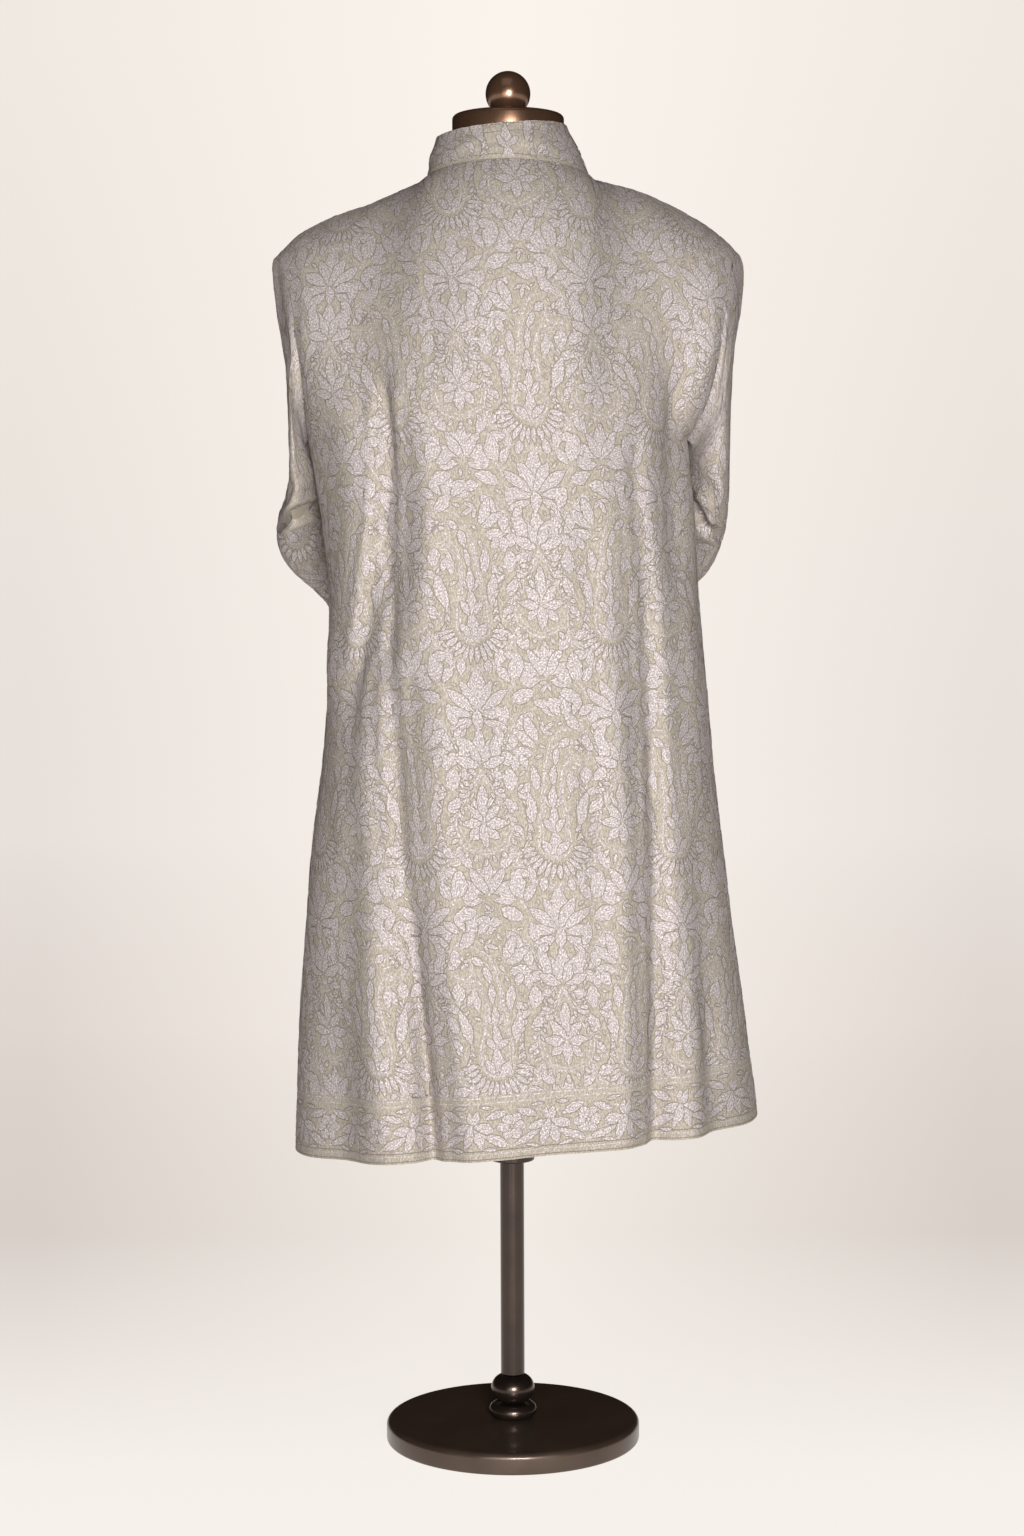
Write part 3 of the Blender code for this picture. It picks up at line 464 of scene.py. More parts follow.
def upperSurface(face, across, up):
    pulls = jacket["pulls"]
    level = np.ones_like(across)
    start = lowerSurface(face, across, level)
    below = lowerSurface(face, across, level - 0.01)
    end = topEdge(face, across)
    climb = end[..., 2:3] - start[..., 2:3]
    startPull = (start - below) / (start[..., 2:3] - below[..., 2:3]) * climb
    side = np.where(across < 0, -1.0, 1.0)
    share = np.abs(across)
    toArm = ease((share - 0.55) / 0.45)
    lean = sum(row[2] * (side == row[1]) for row in jacket["armholes"] if row[0] == face)
    bulge = sum(row[3] * (side == row[1]) for row in jacket["armholes"] if row[0] == face)
    startPull[..., 0] += side * lean * toArm
    startPull[..., 1] += face * bulge * toArm
    toNeck = ease(share / jacket["neckShare"])
    pastNeck = ease((share - jacket["neckShare"]) / pulls["reach"])
    toTip = ease((share - 0.70) / 0.30)
    turn = math.radians(pulls["turn"]) * toNeck * (1.0 - pastNeck)
    pull = pulls["neck"] + (pulls["shoulder"] - pulls["neck"]) * toNeck
    pull = pull + (pulls["tip"][1] - pulls["shoulder"]) * toTip
    rate = pulls["climb"][0] * (1.0 - toNeck) + pulls["climb"][1] * toNeck * (1.0 - pastNeck)
    pullX = side * (pulls["tip"][0] * toTip - pull * np.sin(turn))
    endPull = np.stack([pullX, -face * pull * np.cos(turn), pull * rate], axis=-1)
    return curve(start, startPull, end, endPull, up[..., None])


def plainSurface(face, across, level):
    across, level = np.broadcast_arrays(np.asarray(across, float), np.asarray(level, float))
    lower = lowerSurface(face, across, np.clip(level, 0.0, 1.0))
    upper = upperSurface(face, across, np.clip(level - 1.0, 0.0, 1.0))
    return np.where((level <= 1.0)[..., None], lower, upper)


def foldedSurface(face, across, level, small=True):
    points = plainSurface(face, across, level)
    away = points * np.array([1.0 / foldShape["away"][0] ** 2, 1.0 / foldShape["away"][1] ** 2, 0.0])
    moved = foldMove(points)
    if small:
        seam = 1.0 - np.abs(across)
        free = ease(seam / 0.06) * ease((1.285 - points[..., 2]) / 0.05)
        creases = creaseMove(points, smallCreases, foldShape["smallRunout"])
        moved = moved + (creases * ease((1.24 - points[..., 2]) / 0.05) + softWaves(points)) * free
    return points + unit(away) * moved[..., None]


def gridNormals(points, outward):
    across = np.gradient(points, axis=1)
    up = np.gradient(points, axis=0)
    normals = unit(np.cross(across, up))
    middle = normals.shape[0] // 3, normals.shape[1] // 2
    if np.dot(normals[middle], outward) < 0:
        normals = -normals
    return normals


def openFront(across, level, side):
    gap = jacket["frontGap"][0] + (jacket["frontGap"][1] - jacket["frontGap"][0]) * np.clip(level, 0.0, 1.0)
    start = 2.0 / math.pi * (gap / 2.0 / jacket["acrossLength"]) ** (1.0 / jacket["power"])
    return side * (start + (1.0 - start) * np.abs(across))


def arcLength(points, axis):
    steps = np.linalg.norm(np.diff(points, axis=axis), axis=-1)
    shape = list(steps.shape)
    shape[axis] = 1
    return np.concatenate([np.zeros(shape), np.cumsum(steps, axis=axis)], axis=axis)


# The embroidery: motifs as lists of leaves and lines, in millimetres on the flat cloth
pattern = {
    "across": 139.0,
    "down": 430.0,
    "drift": 0.055,
    "start": (7.0, 249.0),
    "band": 62.0,
    "bandStep": 76.0,
    "sway": 1.0,
    "rim": 0.10,
    "crown": 0.16,
    "layer": 0.075,
    "layers": 7,
    "lineLift": 0.22,
    "lineStep": 4.0,
    "fillGap": 4.2,
    "fillMost": 12.0,
    "widen": 1.36,
    "widenNarrow": 1.15,
    "broadFrom": 3.0,
    "toothedShape": 0.85,
    "plainShape": 1.05,
    "fullness": 0.58,
    "notch": 0.88,
    "toothLean": 0.02,
    "lengthen": 1.04,
}


# fillers: turn, length and half width of each leaf, as shares of the room
filler = {
    "apart": 0.80,
    "margin": 1.3,
    "sprigFrom": 7.0,
    "bud": ((0, 2.0, 0.46),),
    "sprig": ((0, 2.0, 0.34), (-50, 1.4, 0.30), (50, 1.4, 0.30)),
}


class Motif:
    # leaves: foot x, foot y, turn, length, half width, teeth; lines: points, half width
    def __init__(self):
        self.leaves = []
        self.lines = []

    def leaf(self, foot, turn, length, width, teeth=0, both=False):
        self.leaves.append((foot[0], foot[1], turn, length, width, teeth))
        if both:
            self.leaves.append((-foot[0], foot[1], -turn, length, width, teeth))

    def grow(self, rows, both=False):
        for row in rows:
            self.leaf(*row, both=both)

    def flower(self, centre, size, petals, turn=0.0, core=0.20):
        for step in range(petals):
            angle = turn + step * 360.0 / petals
            rad = math.radians(angle)
            foot = (centre[0] + core * size * math.sin(rad), centre[1] + core * size * math.cos(rad))
            self.leaf(foot, angle, size * 0.82, size * 0.34)
        self.leaf((centre[0], centre[1] - core * size * 0.8), 0, core * size * 1.6, core * size * 0.8)

    def line(self, points, width, both=False):
        # a soft curve through the points
        points = np.array(points, float)
        place = np.arange(len(points))
        table = np.column_stack([place, points])
        length = np.linalg.norm(np.diff(points, axis=0), axis=1).sum()
        fine = np.linspace(0, len(points) - 1, max(2, int(length / pattern["lineStep"])))
        curved = np.column_stack([tableValue(table, 1, fine), tableValue(table, 2, fine)])
        self.lines.append((curved, width))
        if both:
            self.lines.append((curved * np.array([-1.0, 1.0]), width))


def makePaisley():
    motif = Motif()
    left = [
        (-2, -15), (-12, -10), (-16, 1), (-15, 18), (-12, 38), (-9, 58), (-6, 80), (0, 98), (10, 110),
        (23, 113),
    ]
    right = [
        (-2, -15), (9, -13), (15, -5), (16, 6), (13, 24), (10, 44), (9, 62), (12, 76), (20, 80), (29, 77),
    ]
    head = [(23, 113), (36, 109), (42, 98), (38, 86), (28, 82), (20, 88), (20, 98), (28, 101)]
    middle, tailTop = 1.0, 76
    for wide, width in ((1.0, 0.75), (0.80, 0.55)):
        half = 0.5 + wide / 2
        for points in (left, right, head):
            shrunk = [(middle + (x - middle) * (wide if y < tailTop else half), y * half) for x, y in points]
            motif.line(shrunk, width)
    motif.grow((
        ((0, -12), 0, 24, 5.4, 3), ((-2, -12), -38, 17, 3.6, 0), ((2, -12), 38, 17, 3.6, 0),
        ((0, 12), 0, 23, 4.6, 3), ((-2, 11), -32, 15, 3.2, 0), ((2, 11), 32, 15, 3.2, 0),
        ((0, 35), 0, 21, 3.9, 3), ((-2, 34), -24, 13, 3.0, 0), ((2, 34), 24, 13, 3.0, 0),
        ((1, 57), 4, 20, 3.6, 3), ((3, 78), 18, 17, 3.6, 2), ((9, 95), 52, 13, 3.4, 0),
    ))
    motif.flower((30, 97), 7.0, 6)
    for turn in np.linspace(100, 260, 14):
        rad = math.radians(turn)
        motif.leaf((18.0 * math.sin(rad), -1 + 18.0 * math.cos(rad)), turn, 18.0, 2.9)
    sweep = np.radians(np.linspace(94, 266, 84))
    for base, width in ((41.0, 0.95), (44.6, 0.6)):
        radius = base + 1.9 * np.cos(sweep * 22)
        motif.lines.append((np.column_stack([radius * np.sin(sweep), -1 + radius * np.cos(sweep)]), width))
    motif.grow((
        ((-15, 96), -52, 26, 5.2, 4), ((-13, 101), -24, 26, 5.0, 4), ((-17, 88), -80, 22, 4.8, 3),
        ((-40, 52), -4, 22, 6.2, 3), ((-36, 78), -52, 17, 5.0, 0), ((-36, 72), 8, 15, 4.4, 0),
        ((-24, 74), -20, 14, 3.8, 0), ((-20, 20), -8, 30, 4.6, 4), ((-15, 52), -6, 24, 4.4, 3),
        ((17, 50), 8, 22, 4.2, 3), ((-30, 46), 24, 15, 3.8, 0), ((-31, 8), -40, 14, 3.4, 0),
        ((-36, 30), -34, 18, 4.6, 3), ((34, 60), 4, 16, 5.4, 3), ((42, 62), 46, 18, 4.4, 0),
        ((25, 18), 16, 32, 5.0, 5), ((27, 54), -24, 14, 3.4, 0), ((33, 46), 48, 15, 3.8, 0),
        ((42, 50), 66, 13, 3.4, 0), ((-46, 46), -62, 13, 3.4, 0), ((-25, 42), -50, 12, 3.0, 0),
        ((34, 10), 40, 14, 3.4, 0), ((38, 30), 36, 18, 4.6, 3), ((30, 32), 12, 13, 3.2, 0),
        ((18, 127), -8, 20, 5.8, 3), ((8, 126), -58, 18, 4.0, 0), ((31, 126), 52, 18, 4.0, 0),
        ((12, 126), -34, 20, 3.8, 0), ((25, 127), 26, 20, 3.8, 0),
    ))
    arch = [(33, 4), (46, 28), (54, 55), (52, 84), (40, 108), (22, 130)]
    motif.line(arch, 0.8, both=True)
    motif.line([(x - 3.4, y) for x, y in arch], 0.5, both=True)
    for step in range(11):
        motif.leaf((57.5 - 0.16 * (step - 4) ** 2, 16 + step * 9.0), 28, 9.0, 2.1, both=True)
        motif.leaf((51.0 - 0.16 * (step - 4) ** 2, 18 + step * 9.0), -24, 8.0, 1.7, both=True)
    return motif


def makeTulip():
    motif = Motif()
    motif.grow((
        ((0, -18), 0, 38, 7.4, 4), ((-1, -18), -27, 30, 5.4, 3), ((1, -18), 27, 30, 5.4, 3),
        ((0, -40), 0, 20, 4.4, 0),
    ))
    motif.grow((
        ((4, -20), 52, 33, 4.6, 0), ((5, -24), 80, 26, 4.4, 0), ((5, -29), 112, 24, 4.4, 0),
        ((14, -34), 150, 17, 4.2, 0), ((38, 10), 10, 27, 6.6, 3), ((33, 8), -32, 18, 4.4, 0),
        ((44, 8), 52, 19, 5.4, 0), ((36, -10), 66, 22, 6.0, 3), ((23, -36), 14, 22, 4.6, 0),
        ((40, -38), 42, 20, 5.6, 3), ((56, -12), 100, 14, 4.6, 0), ((32, -42), 172, 15, 4.4, 0),
        ((24, 24), 8, 18, 4.6, 0), ((58, 24), 16, 16, 5.0, 0), ((15, 16), -8, 15, 3.8, 0),
    ), both=True)
    motif.line([(0, -22), (12, -16), (26, -9), (38, 8)], 0.7, both=True)
    motif.line([(4, -22), (20, -20), (32, -28), (44, -30)], 0.7, both=True)
    motif.line([(0, -42), (0, -30), (0, -18)], 0.9)
    return motif


def makeBouquet():
    motif = Motif()
    motif.grow((((0, 42), 0, 33, 5.8, 4), ((-1, 42), -26, 27, 4.6, 3), ((1, 42), 26, 27, 4.6, 3)))
    motif.grow((
        ((14, 46), 12, 27, 5.4, 3), ((4, 38), 62, 22, 4.4, 0), ((5, 31), 96, 18, 4.0, 0),
        ((26, 54), 44, 15, 4.4, 0),
    ), both=True)
    drop = [(0, 36), (7, 22), (16, 8), (24, -8), (27, -24), (20, -40), (0, -49)]
    motif.line(drop, 0.8, both=True)
    motif.line([(x * 0.86, y * 0.90 - 1) for x, y in drop], 0.5, both=True)
    dropTable = [(index, x, y) for index, (x, y) in enumerate(drop)]
    petals = 16
    for step in range(petals):
        along = step / (petals - 1.0)
        x, y = (tableValue(dropTable, column, along * 6.0) for column in (1, 2))
        foot = (x + 2.2 * math.cos(along * 2.6 - 0.5), y - 2.2 * math.sin(along * 2.6 - 1.0))
        motif.leaf(foot, 46 + 118 * along, 8.5, 2.6, both=True)
    motif.grow((((0, -16), 0, 36, 5.0, 5), ((0, -18), 180, 22, 4.6, 3)))
    motif.grow((
        ((2, -15), 40, 21, 4.4, 3), ((3, -18), 84, 18, 4.6, 3), ((2, -20), 134, 18, 4.2, 0),
        ((5, -2), 26, 13, 2.6, 0),
    ), both=True)
    motif.grow((((0, -86), 0, 32, 5.8, 4), ((-1, -86), -32, 28, 4.8, 3), ((1, -86), 32, 28, 4.8, 3)))
    motif.grow((
        ((15, -62), 34, 19, 4.6, 0), ((4, -86), 64, 27, 4.4, 0), ((26, -68), 80, 16, 4.4, 0),
        ((31, -50), 58, 14, 4.2, 0), ((5, -92), 98, 20, 4.2, 0),
    ), both=True)
    for step in range(9):
        place = (36 + 7.0 * math.sin(step * 0.40), 14 - step * 8.0)
        motif.leaf(place, 148, 10.0, 2.2, both=True)
        motif.leaf(place, 32, 9.0, 2.0, both=True)
    motif.line([(35, 22), (42, 4), (45, -18), (42, -40), (34, -58)], 0.7, both=True)
    motif.line([(0, -88), (0, -70), (0, -52)], 0.9)
    return motif


def makeBandMotif():
    motif = Motif()
    motif.flower((0, 33), 13.5, 6, 30)
    motif.grow((
        ((4, 15), 66, 26, 3.8, 4), ((5, 49), 110, 22, 3.6, 4), ((17, 30), 76, 20, 4.4, 4),
        ((30, 13), 16, 24, 4.4, 4), ((34, 50), 168, 15, 3.2, 0), ((13, 13), 98, 16, 2.2, 0),
        ((17, 52), 84, 15, 2.2, 0),
    ), both=True)
    motif.line([(0, 13), (12, 19), (24, 22), (33, 32), (38, 44)], 0.7, both=True)
    motif.line([(18, 40), (27, 47), (38, 38)], 0.6, both=True)
    return motif


# motif, its centre in the repeat, how far its foot stands above that centre
groups = (
    (makePaisley(), (0.0, -45.0), 45.0),
    (makeTulip(), (0.0, 64.0), 0.0),
    (makeBouquet(), (0.0, 178.0), 0.0),
)
bandMotif = makeBandMotif()


def placements(low, high):
    # every place of the half-drop repeat that can reach the box, with its group and its turned-over sign
    found = []
    startU, startV = pattern["start"]
    for motif, centre, rise in groups:
        for half in (0.0, 0.5):
            for row in range(-3, 4):
                v = centre[1] + (row + half) * pattern["down"] + startV
                for column in range(-6, 7):
                    u = centre[0] + (column + half) * pattern["across"] + startU + pattern["drift"] * v
                    side = 1.0 if column % 2 == 0 else -1.0
                    if low[0] - 70 < u < high[0] + 70 and low[1] - 140 < v < high[1] + 140:
                        found.append((motif, u, v, side, rise))
    return found


class Cloth:
    # a piece's fine grid with its flat coordinates, on which stitches are seated
    def __init__(self, points, normals, u, v):
        self.points, self.normals, self.u, self.v = points, normals, u, v
        self.rows, self.columns = u.shape

    def between(self, values, row, column):
        # the grid's values at places between its points
        firstRow = np.clip(np.floor(row).astype(int), 0, self.rows - 2)
        firstColumn = np.clip(np.floor(column).astype(int), 0, self.columns - 2)
        down, over = row - firstRow, column - firstColumn
        if values.ndim == 3:
            down, over = down[:, None], over[:, None]
        low = values[firstRow, firstColumn] * (1 - over) + values[firstRow, firstColumn + 1] * over
        high = values[firstRow + 1, firstColumn] * (1 - over) + values[firstRow + 1, firstColumn + 1] * over
        return low * (1 - down) + high * down

    def seat(self, u, v):
        # row and column of flat points, by stepping towards them
        row = np.interp(v, *self.rising(self.v[:, self.columns // 2]))
        column = np.interp(u, *self.rising(self.u[self.rows // 2]))
        uDown, uOver = np.gradient(self.u)
        vDown, vOver = np.gradient(self.v)
        most, small = 25, 1e-6
        for step in range(14):
            offU, offV = u - self.between(self.u, row, column), v - self.between(self.v, row, column)
            a, b = self.between(uDown, row, column), self.between(uOver, row, column)
            c, d = self.between(vDown, row, column), self.between(vOver, row, column)
            bottom = a * d - b * c
            bottom = np.where(np.abs(bottom) < small, small, bottom)
            moveDown = np.clip((offU * d - b * offV) / bottom, -most, most)
            moveOver = np.clip((a * offV - offU * c) / bottom, -most, most)
            row = np.clip(row + moveDown, 0, self.rows - 1.001)
            column = np.clip(column + moveOver, 0, self.columns - 1.001)
        off = np.hypot(u - self.between(self.u, row, column), v - self.between(self.v, row, column))
        return row, column, off

    def rising(self, values):
        # the values with their steps, turned round where they fall
        steps = np.arange(len(values))
        return (values, steps) if values[-1] > values[0] else (values[::-1], steps[::-1])


def leafGrid(x, y, turn, length, width, teeth):
    # stations from foot to tip, three points at each: left rim, middle, right rim
    count = 2 * teeth if teeth else (6 if length > 12 else 5)
    along = np.linspace(0.0, 1.0, count + 1)
    width *= pattern["widen"] if width > pattern["broadFrom"] else pattern["widenNarrow"]
    length *= pattern["lengthen"]
    bluntness = pattern["toothedShape"] if teeth else pattern["plainShape"]
    half = width * np.sin(math.pi * np.clip(along, 0.03, 0.985) ** bluntness) ** pattern["fullness"]
    if teeth:
        half[2:-1:2] *= pattern["notch"]
    turn = math.radians(turn)
    ahead = np.array([math.sin(turn), math.cos(turn)])
    aside = np.array([math.cos(turn), -math.sin(turn)])
    middle = np.array([x, y]) + along[:, None] * length * ahead
    lean = np.zeros_like(along)
    if teeth:
        lean[1:-1:2] = length * pattern["toothLean"]
    wide, forward = half[:, None] * aside, lean[:, None] * ahead
    return np.stack([middle - wide + forward, middle, middle + wide + forward], axis=1), along * length, half


def lineGrid(points, width):
    way = np.gradient(points, axis=0)
    way = way / np.maximum(np.linalg.norm(way, axis=1, keepdims=True), 1e-9)
    side = np.column_stack([-way[:, 1], way[:, 0]]) * width * pattern["widenNarrow"]
    along = np.concatenate([[0.0], np.cumsum(np.linalg.norm(np.diff(points, axis=0), axis=1))])
    return np.stack([points - side, points + side], axis=1), along


class Stitches:
    # collects leaves and lines in flat coordinates, then seats them all at once
    def __init__(self, seed):
        self.flat, self.lift, self.rim, self.thread, self.quads, self.marks = [], [], [], [], [], []
        self.count = 0
        self.draw = np.random.default_rng(seed)

    def addGrid(self, flat, lift, rim, thread):
        rows, columns = flat.shape[:2]
        base = self.count
        index = base + np.arange(rows * columns).reshape(rows, columns)
        quads = np.stack([index[:-1, :-1], index[:-1, 1:], index[1:, 1:], index[1:, :-1]], axis=-1)
        self.flat.append(flat.reshape(-1, 2))
        self.lift.append(np.broadcast_to(lift, (rows, columns)).reshape(-1))
        self.rim.append(np.broadcast_to(rim, (rows, columns)).reshape(-1))
        self.thread.append(thread.reshape(-1, 2))
        self.quads.append(quads.reshape(-1, 4))
        self.marks.append(np.full(rows * columns, len(self.marks)))
        self.count += rows * columns

    def addLeaf(self, leaf, place, layer=0):
        # each leaf lies a little above the ones it overlaps, so its whole outline shows
        flat, along, half = leafGrid(*leaf)
        flat = place(flat)
        lift = np.array([0.0, pattern["crown"], 0.0])[None, :] * np.ones((len(along), 1))
        lift[0, 1] = lift[-1, 1] = pattern["rim"] * 0.5
        lift += pattern["rim"] + pattern["layer"] * (layer % pattern["layers"])
        rim = np.stack([np.zeros_like(half), half, np.zeros_like(half)], axis=1)
        start = self.draw.uniform(0, 400, 2)
        places = [np.column_stack([along + start[0], start[1] + part * half]) for part in (-1, 0, 1)]
        thread = np.stack(places, axis=1)
        self.addGrid(flat, lift, rim, thread)

    def addLine(self, points, width, place):
        flat, along = lineGrid(points, width)
        start = self.draw.uniform(0, 400, 2)
        aside = [np.full_like(along, start[1] + part * width) for part in (-1, 1)]
        thread = np.stack([np.column_stack([along + start[0], values]) for values in aside], axis=1)
        self.addGrid(place(flat), pattern["lineLift"], 2.0, thread)

    def addMotif(self, motif, place):
        for layer, leaf in enumerate(motif.leaves):
            self.addLeaf(leaf, place, layer)
        for points, width in motif.lines:
            self.addLine(points, width, place)


def swayed(flat):
    # hand-guided needle: the drawn lines wander by about a millimetre
    u, v = flat[..., 0], flat[..., 1]
    moved = np.zeros(flat.shape)
    draw = np.random.default_rng(5)
    for axis in (0, 1):
        for step in range(5):
            turn, start = draw.uniform(0, 6.283, 2)
            length = draw.uniform(16, 34)
            moved[..., axis] += np.sin((u * math.cos(turn) + v * math.sin(turn)) * 6.283 / length + start)
    return flat + moved * pattern["sway"] * 0.4


def fillGaps(stitches, cloth, keep):
    # buds and small sprigs where the cloth is still bare
    used = np.concatenate(stitches.flat)
    tree = KDTree(len(used))
    for index, (u, v) in enumerate(used):
        tree.insert((u, v, 0.0), index)
    tree.balance()
    spots = np.stack([cloth.u[1:-1, 1:-1], cloth.v[1:-1, 1:-1]], axis=-1)[keep[1:-1, 1:-1]]
    room = np.array([tree.find((u, v, 0.0))[2] for u, v in spots])
    placed = np.zeros((0, 3))
    for index in np.argsort(-room):
        size = min(room[index], pattern["fillMost"])
        if size < pattern["fillGap"]:
            break
        u, v = spots[index]
        off = np.hypot(placed[:, 0] - u, placed[:, 1] - v)
        if np.any(off < (placed[:, 2] + size) * filler["apart"]):
            continue
        placed = np.vstack([placed, (u, v, size)])
        turn = stitches.draw.uniform(-75, 75) + (180 if stitches.draw.uniform() < 0.25 else 0)
        reach = size - filler["margin"]
        rad = math.radians(turn)
        foot = (u - reach * math.sin(rad), v - reach * math.cos(rad))
        for lean, length, width in filler["bud" if size < filler["sprigFrom"] else "sprig"]:
            stitches.addLeaf((*foot, turn + lean, length * reach, width * reach, 0), lambda flat: flat)
    print("fillers", len(placed))


def embroider(name, cloth, up, banded, seed):
    stitches = Stitches(seed)
    low, high = (cloth.u.min(), cloth.v.min()), (cloth.u.max(), cloth.v.max())
    for motif, u, v, side, rise in placements(low, high):
        def place(flat, u=u, v=v, side=side, rise=rise):
            down = rise - flat[..., 1]
            return swayed(np.stack([u + side * flat[..., 0] + pattern["drift"] * down, v + down], axis=-1))
        stitches.addMotif(motif, place)
    keep = up > (pattern["band"] + 4.0) if banded else np.ones(up.shape, bool)
    fillGaps(stitches, cloth, keep)
    flat = np.concatenate(stitches.flat)
    row, column, off = cloth.seat(flat[:, 0], flat[:, 1])
    low = pattern["band"] + 2.5 if banded else 7.0
    short = np.maximum(low - cloth.between(up, row, column), 0.0)
    if short.max() > 0:
        # what would cross the band's line or the edge is pushed back to it
        newRow, newColumn, more = cloth.seat(flat[:, 0], flat[:, 1] - short)
        moved = short > 0
        row, column = np.where(moved, newRow, row), np.where(moved, newColumn, column)
        off = np.where(moved, np.maximum(more, short), off)
    parts = [(row, column, off, stitches)]
    if banded:
        parts.append(embroiderBand(cloth, up, seed + 50))
    return sewPieces(name, cloth, parts)


def embroiderBand(cloth, up, seed):
    border = Cloth(cloth.points, cloth.normals, cloth.u, up)
    edge = Stitches(seed)
    for step in range(-8, 9):
        def place(flat, start=step * pattern["bandStep"]):
            return swayed(flat + np.array([start, 0.0]))
        edge.addMotif(bandMotif, place)
    length = np.arange(cloth.u.min() - 2, cloth.u.max() + 2, pattern["lineStep"])
    for height, width in ((pattern["band"] + 0.4, 0.55), (pattern["band"] - 4.8, 0.55), (7.4, 0.5)):
        edge.addLine(np.column_stack([length, np.full_like(length, height)]), width, lambda flat: flat)
    spot = np.concatenate(edge.flat)
    return (*border.seat(spot[:, 0], spot[:, 1]), edge)


def sewPieces(name, cloth, parts):
    vertices, faces, rims, threads, base = [], [], [], [], 0
    for row, column, off, stitches in parts:
        points = cloth.between(cloth.points, row, column)
        normals = unit(cloth.between(cloth.normals, row, column))
        marks = np.concatenate(stitches.marks)
        outside = (off > 1.2).astype(float)
        share = np.bincount(marks, outside) / np.bincount(marks)
        lift = np.concatenate(stitches.lift) / 1000.0
        place = points + normals * lift[:, None]
        quads = np.concatenate(stitches.quads)
        corner = place[quads]
        area = np.linalg.norm(np.cross(corner[:, 2] - corner[:, 0], corner[:, 3] - corner[:, 1]), axis=1) / 2
        good = (area > 4e-8) & (share[marks[quads[:, 0]]] < 0.75) & (outside[quads].sum(axis=1) < 3)
        quads = quads[good]
        way = np.cross(place[quads[:, 1]] - place[quads[:, 0]], place[quads[:, 2]] - place[quads[:, 0]])
        back = np.sum(way * normals[quads[:, 0]], axis=1) < 0
        quads[back] = quads[back][:, ::-1]
        vertices.append(place)
        faces.append(quads + base)
        rims.append(np.concatenate(stitches.rim))
        threads.append(np.concatenate(stitches.thread))
        base += len(place)
    vertices, faces = np.concatenate(vertices), np.concatenate(faces)
    rims, threads = np.concatenate(rims), np.concatenate(threads)
    used, faces = np.unique(faces, return_inverse=True)
    faces = faces.reshape(-1, 4)
    vertices, rims, threads = vertices[used], rims[used], threads[used]
    mesh = bpy.data.meshes.new(name)
    mesh.from_pydata(vertices.tolist(), [], faces.tolist())
    layer = mesh.attributes.new("rim", "FLOAT", "POINT")
    layer.data.foreach_set("value", rims.astype(np.float32))
    thread = mesh.uv_layers.new(name="thread")
    thread.data.foreach_set("uv", (threads[faces.reshape(-1)] / 100.0).astype(np.float32).reshape(-1))
    mesh.shade_smooth()
    mesh.materials.append(silkFinish)
    mesh.update()
    piece = bpy.data.objects.new(name, mesh)
    bpy.context.scene.collection.objects.link(piece)
    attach(piece, "root")
    print(name, "stitched faces", len(faces))
    return piece


# Thin shells of cloth: a fine outer face, a coarser inner one and closed rims
shell = {"wall": 0.0015, "down": 8, "across": 2}


def clothShell(name, outer, normals, fields, closed=False):
    rows, columns = outer.shape[:2]
    down, over = shell["down"], shell["across"]
    inner = (outer - normals * shell["wall"])[::down, ::over]
    innerRows, innerColumns = inner.shape[:2]
    points = np.concatenate([outer.reshape(-1, 3), inner.reshape(-1, 3)])
    base = rows * columns

    def quads(rowCount, columnCount, first, flip):
        span = columnCount if closed else columnCount - 1
        row, column = np.meshgrid(np.arange(rowCount - 1), np.arange(span), indexing="ij")
        after = (column + 1) % columnCount
        here, below = row * columnCount, (row + 1) * columnCount
        faces = np.stack([here + column, here + after, below + after, below + column], axis=-1)
        faces = faces.reshape(-1, 4) + first
        return faces[:, ::-1] if flip else faces

    turned = np.dot(np.cross(outer[1, 2] - outer[1, 1], outer[2, 1] - outer[1, 1]), normals[1, 1]) < 0
    outerFaces = quads(rows, columns, 0, turned)
    innerFaces = quads(innerRows, innerColumns, base, not turned)
    span = columns + (1 if closed else 0)
    rims = [([(0, step) for step in range(span)], over)]
    rims.append(([(rows - 1, step) for step in range(span)][::-1], over))
    if not closed:
        rims.append(([(step, 0) for step in range(rows)][::-1], down))
        rims.append(([(step, columns - 1) for step in range(rows)], down))

    def inside(place):
        return base + (place[0] // down) * innerColumns + (place[1] % columns) // over

    rimFaces = []
    for rim, skip in rims:
        for start in range(0, len(rim) - 1, skip):
            first, last = inside(rim[start]), inside(rim[start + skip])
            for step in range(skip):
                pair = rim[start + step:start + step + 2]
                a, b = (row * columns + column % columns for row, column in pair)
                near = first if step < skip // 2 else last
                rimFaces.append((b, a, near) if not turned else (a, b, near))
                if step == skip // 2 - 1:
                    rimFaces.append((b, first, last) if not turned else (b, last, first))
    mesh = bpy.data.meshes.new(name)
    faces = outerFaces.tolist() + innerFaces.tolist() + rimFaces
    mesh.from_pydata(points.tolist(), [], faces)
    mesh.shade_smooth()
    mesh.set_sharp_from_angle(angle=math.radians(60))
    mesh.materials.append(clothFinish)
    mesh.materials.append(liningFinish)
    slots = np.zeros(len(faces), np.int32)
    slots[len(outerFaces):len(outerFaces) + len(innerFaces)] = 1
    mesh.polygons.foreach_set("material_index", slots)
    for field, values in fields.items():
        layer = mesh.attributes.new(field, "FLOAT", "POINT")
        full = np.concatenate([values.reshape(-1), np.full(len(points) - base, -500.0)])
        layer.data.foreach_set("value", full.astype(np.float32))
    mesh.update()
    piece = bpy.data.objects.new(name, mesh)
    bpy.context.scene.collection.objects.link(piece)
    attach(piece, "root")
    print(name, "faces", len(faces), "area", round(sum(p.area for p in mesh.polygons) / 2, 4))
    return piece


